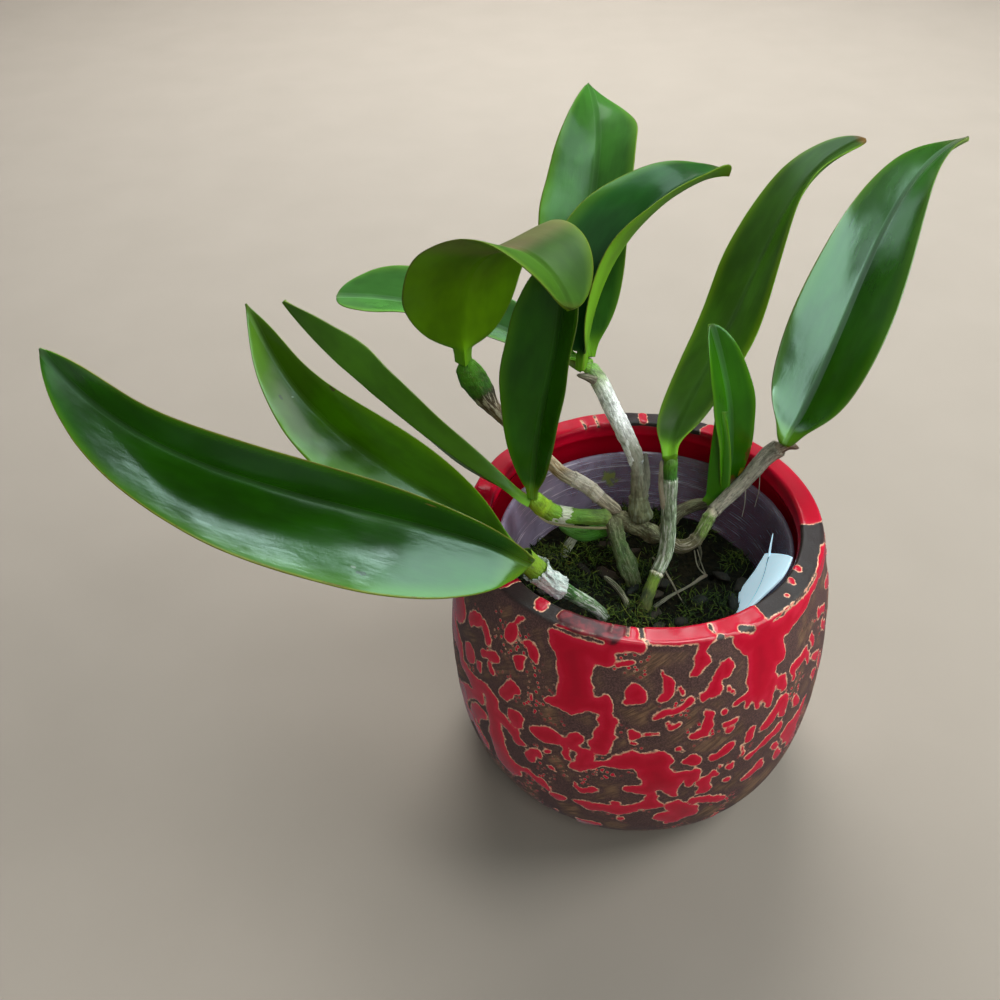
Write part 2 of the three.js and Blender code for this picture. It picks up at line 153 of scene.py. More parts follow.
def tone(red, green, blue):  # a colour as seen on screen, 0 to 255, as linear light
    seen = np.array([red, green, blue]) / 255
    return (*np.where(seen <= 0.04045, seen / 12.92, ((seen + 0.055) / 1.055) ** 2.4).tolist(), 1.0)


# One output of a node. Expressions on it add Math nodes.
class Wire:
    def __init__(self, finish, socket):
        self.finish, self.socket = finish, socket

    def math(self, operation, *values):
        return self.finish.node("ShaderNodeMath", {"operation": operation}, dict(enumerate(values)))

    def __add__(self, other):
        return self.math("ADD", self, other)

    def __sub__(self, other):
        return self.math("SUBTRACT", self, other)

    def __rsub__(self, other):
        return self.math("SUBTRACT", other, self)

    def __mul__(self, other):
        return self.math("MULTIPLY", self, other)

    def __truediv__(self, other):
        return self.math("DIVIDE", self, other)

    def __abs__(self):
        return self.math("ABSOLUTE", self)

    __radd__, __rmul__ = __add__, __mul__

    def most(self, other):
        return self.math("MAXIMUM", self, other)

    def over(self, low, high):  # 0 at low, 1 at high, an S curve between, also where low is the larger
        return self.finish.node("ShaderNodeMapRange", {"interpolation_type": "SMOOTHSTEP"},
                                {0: self, 1: low, 2: high, 3: 0.0, 4: 1.0})


# A material and the ways of adding nodes to it
class Finish:
    def __init__(self, name):
        self.material = bpy.data.materials.new(name)
        self.material.use_nodes = True
        self.tree = self.material.node_tree
        self.tree.nodes.clear()

    def node(self, kind, settings=None, sockets=None, out=0):
        made = self.tree.nodes.new(kind)
        for key, value in (settings or {}).items():
            if key == "stops":
                while len(made.color_ramp.elements) < len(value):
                    made.color_ramp.elements.new(0.5)
                for stop, (place, colour) in zip(made.color_ramp.elements, value):
                    stop.position, stop.color = place, colour
            else:
                setattr(made, key, value)
        for key, value in (sockets or {}).items():
            if isinstance(value, Wire):
                self.tree.links.new(value.socket, made.inputs[key])
            else:
                made.inputs[key].default_value = value
        return Wire(self, made.outputs[out]) if made.outputs else None

    def spot(self):  # where a point is, in millimetres
        here = self.node("ShaderNodeTexCoord", out=3)
        return self.node("ShaderNodeVectorMath", {"operation": "SCALE"}, {0: here, 3: 1000.0})

    def value(self, name):
        return self.node("ShaderNodeAttribute", {"attribute_name": name}, out=2)

    def vector(self, name):
        return self.node("ShaderNodeAttribute", {"attribute_name": name}, out=1)

    def triple(self, x, y, z=0.0):
        return self.node("ShaderNodeCombineXYZ", {}, {0: x, 1: y, 2: z})

    def noise(self, at, scale, detail=2.0, roughness=0.5, stretch=None):
        if stretch:
            at = self.node("ShaderNodeVectorMath", {"operation": "MULTIPLY"}, {0: at, 1: stretch})
        return self.node("ShaderNodeTexNoise", {"noise_dimensions": "3D"},
                         {"Vector": at, "Scale": scale, "Detail": detail, "Roughness": roughness})

    def cells(self, at, scale):
        return self.node("ShaderNodeTexVoronoi", {"feature": "F1"}, {"Vector": at, "Scale": scale})

    def far(self, at, other=(0.0, 0.0, 0.0)):  # distance between two places
        return self.node("ShaderNodeVectorMath", {"operation": "DISTANCE"}, {0: at, 1: other}, out=1)

    def ramp(self, place, stops):  # colours at places from 0 to 1
        stops = [(at, tone(*colour)) for at, colour in stops]
        return self.node("ShaderNodeValToRGB", {"stops": stops}, {0: place})

    def mix(self, share, first, second):  # colours are wires, or red, green and blue as seen on screen
        first, second = (c if isinstance(c, Wire) else tone(*c) for c in (first, second))
        return self.node("ShaderNodeMix", {"data_type": "RGBA"}, {0: share, 6: first, 7: second}, out=2)

    def bump(self, height, distance, strength):  # distance in millimetres
        sockets = {"Height": height, "Distance": distance * mm, "Strength": strength}
        return self.node("ShaderNodeBump", {}, sockets)

    def surface(self, **sockets):  # the whole material, from the Principled shader's sockets
        named = {key.replace("_", " "): value for key, value in sockets.items()}
        shader = self.node("ShaderNodeBsdfPrincipled", {}, named)
        self.node("ShaderNodeOutputMaterial", {}, {"Surface": shader})
        return self.material


# foot is where the midrib starts. heading, rise, roll and fold are in degrees, in equal steps from
# foot to tip. swell and taper shape the outline. upper, under and margin are colours. leafShared
# holds for each leaf that says nothing else: clasp is the share of the length that wraps the cane,
# stalk the share that stays narrow, line the painted shade darkening the midrib crease, glow the
# painted light of a pale band along the edges, where light shines through the thin margin, trim where
# the coloured margin begins, nicks its wear, dry the brown of the tip, shine the strength of reflections.
leafShared = {
    "rows": 150, "halfCols": 24, "midribThick": 1.6, "footThick": 2.2, "marginThick": 0.75, "tipWidth": 0.45,
    "neck": 2.5, "neckFold": 50, "clasp": 0.07, "stalk": 0, "sunk": 1.5, "keel": 0.08, "groove": 0.05,
    "wave": 0.4, "dents": 0.16, "under": (100, 140, 40), "margin": (96, 116, 34), "line": 0.25, "paintedEdgeGlow": 0.3,
    "rib": 0.15, "petiole": 0.07, "trim": 0.962, "nicks": 0.5, "dry": 0.15, "gloss": 0.37, "shine": 0.36,
    "marks": [], "tintAndPaintedLight": None, "slot": "leaf_green",
}
leaves = {
    "leaf_long_left": {
        "foot": (-37, -26.5, 104), "length": 152, "width": 46, "swell": 0.51, "taper": 0.81,
        "heading": (192, 172, 156, 137), "rise": (39, 14, 13, 33), "roll": (-96, -70, -58, -39),
        "fold": (47, 46, 48, 18), "upper": (34, 88, 2), "under": (78, 118, 20), "margin": (140, 146, 46),
        "nicks": 0.95, "trim": 0.95, "paintedEdgeGlow": 0.5, "shine": 0.6, "line": 0.45,
        "marks": [(44, 17, 0.7, 2.5, (30, 44, 20)), (46.5, 16, 0.35, 2, (150, 170, 150)),
                  (33, -17.6, 0.6, 2.5, (150, 120, 60))],
    },
    "leaf_second_left": {
        "foot": (-39, -23, 103), "length": 132, "width": 30, "swell": 0.78, "taper": 0.95,
        "heading": (141, 140, 128, 122), "rise": (18, 6, 13, 37), "roll": (-47, -40, -38, -6),
        "fold": (37, 33, 43, 27), "upper": (58, 104, 2), "under": (92, 130, 20), "margin": (84, 104, 24),
        # the olive tint over the tip is painted shade
        "paintedEdgeGlow": 0.25, "shine": 0.17, "tintAndPaintedLight": (0.6, 1.3, (56, 84, 14), 0.6),
        "marks": [(93.5, 6.5, 0.55, 3, (26, 46, 18)), (92, 3, 0.4, 1, (150, 176, 140)),
                  (76, -13.3, 0.8, 2, (70, 50, 30))],
    },
    "leaf_narrow_left": {
        "foot": (-35.5, 9, 95), "length": 114, "width": 21, "swell": 1.0, "taper": 0.74, "neck": 1.7,
        "heading": (167, 139, 132, 132), "rise": (32, 14, 12, 30), "roll": (98, 82, 76, 56),
        "fold": (47, 22, 42, 23), "upper": (52, 98, 4), "under": (60, 104, 6), "paintedEdgeGlow": 0.6,
    },
    "leaf_dark_upright": {
        "foot": (-32.5, 11, 97), "length": 74, "width": 31, "swell": 0.77, "taper": 0.5,
        "heading": (72, 50, 70), "rise": (86, 71, 93), "roll": (-5, -6, -20), "fold": (31, 35, 29),
        "upper": (34, 80, 1), "under": (60, 100, 10), "slot": "leaf_dark",
    },
    "leaf_curled_front": {
        "foot": (-53, 34, 131.5), "length": 91, "width": 40, "swell": 0.36, "taper": 0.49,
        "heading": (-86, -63, -57, -71), "rise": (105, 59, 17, -35), "roll": (3, -4, -6, -32),
        "fold": (34, 4, 17, 8), "upper": (46, 78, 14), "under": (88, 132, 6), "rib": 0.0, "gloss": 0.08,
        # the pinkish brown tint over the middle of the blade is a painted reflection
        "shine": 0.08, "clasp": 0.035, "stalk": 0.035, "neck": 4.2, "tintAndPaintedLight": (0.5, 0.78, (122, 100, 78), 0.4),
    },
    "leaf_back_left": {
        "foot": (-16.5, 45.5, 121), "length": 93, "width": 28.5, "swell": 0.84, "taper": 0.53,
        "heading": (153, 149, 170), "rise": (14, 2, -4), "roll": (-6, -9, -19), "fold": (16, 29, 17),
        "upper": (62, 112, 48), "slot": "leaf_light",
    },
    "leaf_top": {
        "foot": (-13.5, 47.5, 124), "length": 113, "width": 36, "swell": 0.74, "taper": 0.81,
        "heading": (93, 80, 102), "rise": (56, 25, 19), "roll": (22, -26, 31), "fold": (19, 20, 5),
        # the upper colour is lighter while the shine is low: the colour carries part of a painted sheen
        "upper": (46, 90, 30), "shine": 0.06, "slot": "leaf_light",
    },
    "leaf_arching": {
        "foot": (-15.5, 41, 124), "length": 84, "width": 39.5, "swell": 0.45, "taper": 0.75,
        "heading": (71, 43, 25, 41), "rise": (79, 54, 28, -19), "roll": (-21, -12, -10, -16),
        # the bluish tint of the upper colour is a painted sheen
        "fold": (48, 51, 31, 35), "upper": (28, 70, 24), "under": (98, 148, 24), "paintedEdgeGlow": 0.5, "shine": 0.08,
        "stalk": 0.05, "dry": 0.6, "tintAndPaintedLight": (0.9, 1.3, (84, 70, 40), 0.5), "slot": "leaf_blue",
    },
    "leaf_tall_right": {
        "foot": (8, 4, 112.5), "length": 139, "width": 30, "swell": 0.81, "taper": 0.61, "neck": 3.6,
        "heading": (83, 55, 53, 2), "rise": (1, 26, 36, 17), "roll": (-15, -24, -35, 12),
        "fold": (24, 5, 23, 17), "upper": (38, 70, 8), "under": (72, 118, 18), "margin": (96, 140, 30),
        "gloss": 0.24, "paintedEdgeGlow": 0.5, "shine": 0.09, "dry": 0.9, "tintAndPaintedLight": (0.95, 1.3, (70, 54, 44), 0.7),
    },
    "leaf_young": {
        "foot": (29.2, 20.2, 84.8), "length": 62, "width": 17.5, "swell": 0.69, "taper": 0.55,
        "heading": (104, 141, 138), "rise": (96, 79, 64), "roll": (16, -19, -14), "fold": (36, 23, 26),
        "upper": (38, 90, 1), "under": (84, 140, 10), "margin": (70, 120, 20), "nicks": 1.0,
        "marks": [(16, -6.3, 1.2, 3, (90, 60, 20)), (6, -2, 2.2, 1.6, (110, 70, 16)),
                  (9, -5, 1.4, 2, (170, 150, 30)), (28, 2, 0.6, 2, (170, 190, 150))], "slot": "leaf_young",
    },
    "leaf_young_sheath": {
        "foot": (25.2, 17.6, 85), "length": 35, "width": 11, "swell": 0.4, "taper": 0.9,
        "heading": (180, 180, 180), "rise": (86, 90, 91), "roll": (0, 0, 0), "fold": (60, 62, 66),
        "upper": (50, 110, 3), "under": (54, 116, 4), "margin": (76, 130, 20), "slot": "leaf_young",
    },
    "leaf_far_right": {
        "foot": (47, 19, 106.5), "length": 130, "width": 35, "swell": 0.5, "taper": 0.85,
        "heading": (47, 57, 52, 26), "rise": (41, 35, 25, 10), "roll": (9, 4, 5, -23),
        "fold": (23, 33, 43, 24), "upper": (28, 70, 3), "petiole": 0.045, "shine": 0.6, "line": 0.45,
        "tintAndPaintedLight": (0.9, 1.3, (96, 84, 50), 0.3),
    },
}


# The one polynomial through equally spaced values
def through(values, u):
    last = len(values) - 1
    total = 0
    for i, value in enumerate(values):
        weight = np.ones_like(u)
        for j in range(last + 1):
            if j != i:
                weight = weight * (u * last - j) / (i - j)
        total = total + value * weight
    return total


# Directions at a share u of the midrib: along it, across to the left half, and out of the upper face
def leafAxes(leaf, u):
    heading, rise, roll = (np.radians(through(leaf[key], u)) for key in ("heading", "rise", "roll"))
    along, across, roll = toward(heading, rise), leftOf(heading), roll[:, None]
    face = np.cross(along, across)
    return along, across * np.cos(roll) + face * np.sin(roll), face * np.cos(roll) - across * np.sin(roll)


# Blade as a closed shell. Half-width follows u^swell (1-u)^taper, both halves rise from the midrib
# by the fold, and the two faces lie apart by a thickness that rounds off to nothing at the margin.
def leafShell(leaf, seed):
    fine = np.linspace(0, 1, 601)
    steps = leafAxes(leaf, (fine[1:] + fine[:-1]) / 2)[0] * leaf["length"] / 600
    spine = np.concatenate([[(0, 0, 0)], np.cumsum(steps, 0)]) + leaf["foot"]
    even = np.linspace(0, 1, leaf["rows"])
    u = 0.55 * ((1 - np.cos(np.pi * even)) / 2) + 0.45 * even  # closer rows at the foot and the tip
    along, across, face = leafAxes(leaf, u)
    middle = np.stack([np.interp(u, fine, spine[:, k]) for k in range(3)], 1)
    middle = middle - along[0] * leaf["sunk"] * ease(u, 0.03, 0)[:, None]
    p, q, stalk = leaf["swell"], leaf["taper"], leaf["stalk"]
    peak = (p / (p + q)) ** p * (q / (p + q)) ** q
    broad = np.clip((u - stalk) / (1 - stalk), 0, 1)
    half = np.sqrt((leaf["width"] / 2 * broad ** p * (1 - u) ** q / peak) ** 2
                   + (leaf["neck"] * (1 - u) ** 3) ** 2 + leaf["tipWidth"] ** 2)
    clasp = np.exp(-(u / leaf["clasp"]) ** 2)
    fold = np.radians(through(leaf["fold"], u) * (1 - clasp) + leaf["neckFold"] * clasp)
    k = leaf["halfCols"]
    out = np.interp(np.linspace(0, 1, k + 1), [0, 0.25, 0.8, 1], [0, 0.12, 0.88, 1])
    v = np.concatenate([out[::-1], -out[1:]])  # from the left margin over the midrib to the right one
    v = np.concatenate([v, v[-2:0:-1]])
    side = np.concatenate([np.ones(2 * k + 1), -np.ones(2 * k - 1)])
    side[[0, 2 * k]] = 0
    share, over = np.meshgrid(u, v, indexing="ij")
    wide, bend, edge = half[:, None], fold[:, None], np.abs(over)
    mid = leaf["midribThick"] + leaf["footThick"] * np.exp(-(u / 0.05) ** 2)[:, None]
    thick = (mid + (leaf["marginThick"] - mid) * edge) * np.sqrt(np.clip(1 - edge ** 9, 0, 1)) / np.cos(bend)
    keel = leaf["keel"]
    lift = (np.hypot(over, keel) - keel) / (np.hypot(1, keel) - keel)
    reach = wide * over
    wave = leaf["wave"] * ease(wide, 3, 12) * (
        edge ** 1.5 * np.sin(6.3 * (1.9 * share + seed * 0.37) + 1.3 * np.sign(over))
        + 0.6 * edge * np.sin(6.3 * (3.7 * share + seed * 0.71) + 2.1 * np.sign(over)))
    dents = np.stack([reach / 7, share * leaf["length"] / 9, 0 * share + seed * 5.1], -1)
    wave = wave + leaf["dents"] * ease(wide, 3, 9) * rough(dents, seed, 2)
    groove = leaf["groove"] * np.exp(-(reach / 0.7) ** 2) * ease(wide, 2, 7)
    height = wide * lift * np.sin(bend) + wave + side * thick / 2 - side * groove
    rings = (middle[:, None] + across[:, None] * (reach * np.cos(bend))[..., None]
             + face[:, None] * height[..., None])
    return closedTube(rings, {"along": share * leaf["length"], "share": share, "across": over, "reach": reach,
                              "side": side[None] + 0 * share})


def leafFinish(name, leaf):
    f = Finish(name)
    along, share, across, reach, side = (f.value(k) for k in ("along", "share", "across", "reach", "side"))
    here = f.triple(reach, along, side * 20)
    veins = f.noise(f.triple(reach, along * 0.04, side * 20), 1.3, 2, 0.6)
    cloud = f.noise(here, 0.14, 3, 0.6, (0.7, 0.3, 1.0))
    speck = f.noise(here, 0.8, 3, 0.7)
    dust = f.noise(here, 0.35, 4, 0.75, (1.0, 0.35, 1.0))
    upper, under = np.array(leaf["upper"]), np.array(leaf["under"])
    top = f.mix(cloud.over(0.3, 0.7), upper * 0.86, upper * 1.1)
    top = f.mix(veins.over(0.5, 0.75) * 0.1, top, upper * 1.25 + 6)
    # painted shade: the colour darkens along the midrib crease, where the fold lies in shade
    top = f.mix(abs(reach).over(1.4, 0.2) * leaf["line"], top, upper * 0.5)
    # painted light: a paler band along the edges, where light shines through the thin margin
    top = f.mix(abs(across).over(0.72, 1.0) * leaf["paintedEdgeGlow"], top, upper * 1.3 + (44, 36, 4))
    low = f.mix(cloud.over(0.3, 0.7), under * 0.9, under * 1.08)
    low = f.mix(abs(reach).over(1.2, 0.3) * leaf["rib"], low, under * 1.3 + 10)
    facesUp = side.over(-0.2, 0.2)
    colour = f.mix(facesUp, low, top)
    # On most leaves this is the leaf's own tint. On the curled front leaf it is a painted reflection, and on
    # the second left leaf it is painted shade over the tip.
    if leaf["tintAndPaintedLight"]:  # a tint over a stretch of the length: from, to, colour, strength
        start, stop, tint, strength = leaf["tintAndPaintedLight"]
        stretch = share.over(start, start + 0.1) * share.over(stop, stop - 0.1)
        colour = f.mix(stretch * strength, colour, tint)
    colour = f.mix(share.over(leaf["petiole"], 0.01) * 0.85, colour, (88, 136, 24))
    edge = abs(across).over(leaf["trim"], leaf["trim"] + 0.028)
    colour = f.mix(edge * 0.7, colour, leaf["margin"])
    colour = f.mix(edge * dust.over(0.52, 0.62) * leaf["nicks"], colour, (96, 66, 30))
    colour = f.mix(share.over(0.975, 0.995) * leaf["dry"], colour, (92, 66, 30))
    for spot, away, size, stretch, tint in leaf["marks"]:  # along, reach, size, stretch, colour
        gone = f.far(f.triple(reach - away, (along - spot) / stretch)) + (speck - 0.5) * size * 1.6
        colour = f.mix(gone.over(size, size * 0.6) * 0.85, colour, tint)
    crease = abs(reach).over(1.5, 0.5)
    roughness = 0.5 - facesUp * leaf["gloss"] + dust * 0.14 * facesUp + crease * 0.6
    relief = veins * 0.12 + speck * 0.1 + dust * 0.3 + cloud * 1.4
    return f.surface(Base_Color=colour, Roughness=roughness, Normal=f.bump(relief, 0.45, 0.3),
                     Specular_IOR_Level=leaf["shine"])


for seed, (name, own) in enumerate(leaves.items()):
    leaf = {**leafShared, **own}
    made = piece(name + "_blade", *leafShell(leaf, seed), leafFinish(name + "_skin", leaf))
    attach(made, "root")
    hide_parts(name)
print("leaves:", len(leaves))


# A smooth curve through points (x, y, z, radius): centripetal Catmull-Rom, at count even steps.
# Returns points, radii, directions and arc lengths.
def stemLine(points, count):
    p = np.asarray(points, float)
    full = np.concatenate([[2 * p[0] - p[1]], p, [2 * p[-1] - p[-2]]])
    t = np.linspace(0, len(p) - 1, 40 * len(p))
    k = np.minimum(t.astype(int), len(p) - 2)
    w = (t - k)[:, None]
    a, b, c, d = (full[k + n] for n in range(4))
    gap = [np.sqrt(np.linalg.norm((y - x)[:, :3], axis=1))[:, None] for x, y in ((a, b), (b, c), (c, d))]
    m1 = ((b - a) / gap[0] - (c - a) / (gap[0] + gap[1]) + (c - b) / gap[1]) * gap[1]
    m2 = ((c - b) / gap[1] - (d - b) / (gap[1] + gap[2]) + (d - c) / gap[2]) * gap[1]
    line = ((2 * w ** 3 - 3 * w ** 2 + 1) * b + (w ** 3 - 2 * w ** 2 + w) * m1
            + (3 * w ** 2 - 2 * w ** 3) * c + (w ** 3 - w ** 2) * m2)
    arc = np.concatenate([[0], np.cumsum(np.linalg.norm(np.diff(line[:, :3], axis=0), axis=1))])
    even = np.linspace(0, arc[-1], count)
    line = np.stack([np.interp(even, arc, line[:, n]) for n in range(4)], 1)
    way = unit(np.gradient(line[:, :3], axis=0))
    return line[:, :3], line[:, 3], way, even


# Two directions square to each point of a line, kept from turning by one fixed direction
def stemSides(way):
    fixed = np.array([0.3, -0.95, 0.1])
    first = unit(fixed - way * (way @ fixed)[:, None])
    return first, np.cross(way, first)


def circle(cols):
    turn = np.linspace(0, 2 * np.pi, cols, endpoint=False)
    return np.stack([np.cos(turn), np.sin(turn)], 1)


# Places for noise on a stem: the point of the circle, scaled, and a place along the stem
def aroundStem(ring, scale, place):
    return np.stack(np.broadcast_arrays(ring[:, 0] * scale, ring[:, 1] * scale, place), -1)


# Rings of the given radius round the points middle, with their two side directions
def ringsRound(middle, first, second, radius, ring):
    return middle + first * (radius * ring[:, 0])[..., None] + second * (radius * ring[:, 1])[..., None]


# Round stem with lumps, fibres and raised rings. span is the part of the colour ramp it takes.
def stemShell(points, span=(0, 0.8), cols=32, step=0.45, lump=0.1, joints=(), seed=0):
    length = np.linalg.norm(np.diff(np.asarray(points, float)[:, :3], axis=0), axis=1).sum()
    middle, radius, way, arc = stemLine(points, max(int(length / step), 10))
    first, second = stemSides(way)
    ring, whole, place = circle(cols), arc[-1], arc[:, None]
    at = aroundStem(ring, 1.1, place * 0.16 + seed * 7.7)
    fine, bands = rough(at * [3.5, 3.5, 1.2], seed + 3, 2), lumps(at * [2.4, 2.4, 5], seed + 5)
    ridges = 0.05 * fine + lump * 0.6 * bands
    radius = radius[:, None] * (1 + lump * lumps(at, seed) + ridges)
    for joint in joints:
        ragged = 0.3 * lumps(at * [2, 2, 0.01], 8)
        radius = radius + 0.35 * np.exp(-((place - joint * whole + ragged) / 0.45) ** 2)
    blunt = np.clip(np.minimum(arc, whole - arc) / radius.mean(), 0, 1)[:, None]
    radius = radius * np.sqrt(np.clip(1 - (1 - blunt) ** 2, 0.02, 1))
    rings = ringsRound(middle[:, None], first[:, None], second[:, None], radius, ring)
    share = span[0] + (span[1] - span[0]) * place / whole + 0 * radius
    return closedTube(rings, {"grain": aroundStem(ring, 2.5, place + seed * 31), "share": share})


# Dry papery sleeve round part of a stem: a thin closed shell from arc share start to stop, with
# ragged ends that stand off the stem, and wrinkles. rag is the depth of the tears at each end.
def huskShell(points, start, stop, shade, grow, rag, flare, wrinkle, seed, cols=96, rows=36, thick=0.22):
    middle, radius, way, arc = stemLine(points, 240)
    first, second = stemSides(way)
    ring, whole = circle(cols), arc[-1]
    flat = np.stack([ring[:, 0], ring[:, 1], np.full(cols, seed * 3.3)], -1)
    tear = rough(flat * 1.3, seed) + 0.35 * rough(flat * 9, seed + 2)
    low, high = start * whole + rag[0] * tear, stop * whole + rag[1] * np.roll(tear, cols // 3)
    step = np.concatenate([np.linspace(0, 1, rows), np.linspace(1, 0, rows)])[:, None]
    inside = np.repeat([0, 1], rows)[:, None]
    place = np.clip(low + (high - low) * step, 0, whole)
    at = aroundStem(ring, 2.4, place * 0.35)
    away = (np.interp(place, arc, radius) + grow + wrinkle * rough(at, seed + 4)
            + wrinkle * 0.7 * lumps(at * [2.4, 2.4, 0.5], seed) + flare * np.exp(-(high - place) / 0.9)
            + 0.4 * flare * np.exp(-(place - low) / 0.9) - thick * inside)
    middle, first, second = (np.stack([np.interp(place, arc, line[:, k]) for k in range(3)], -1)
                             for line in (middle, first, second))
    points = ringsRound(middle, first, second, away, ring).reshape(-1, 3)
    grain = aroundStem(ring, 2.5, place + seed * 31).reshape(-1, 3)
    values = {"grain": grain, "share": np.full((len(points), 1), shade)}
    return points, tubeFaces(2 * rows, cols, True), values


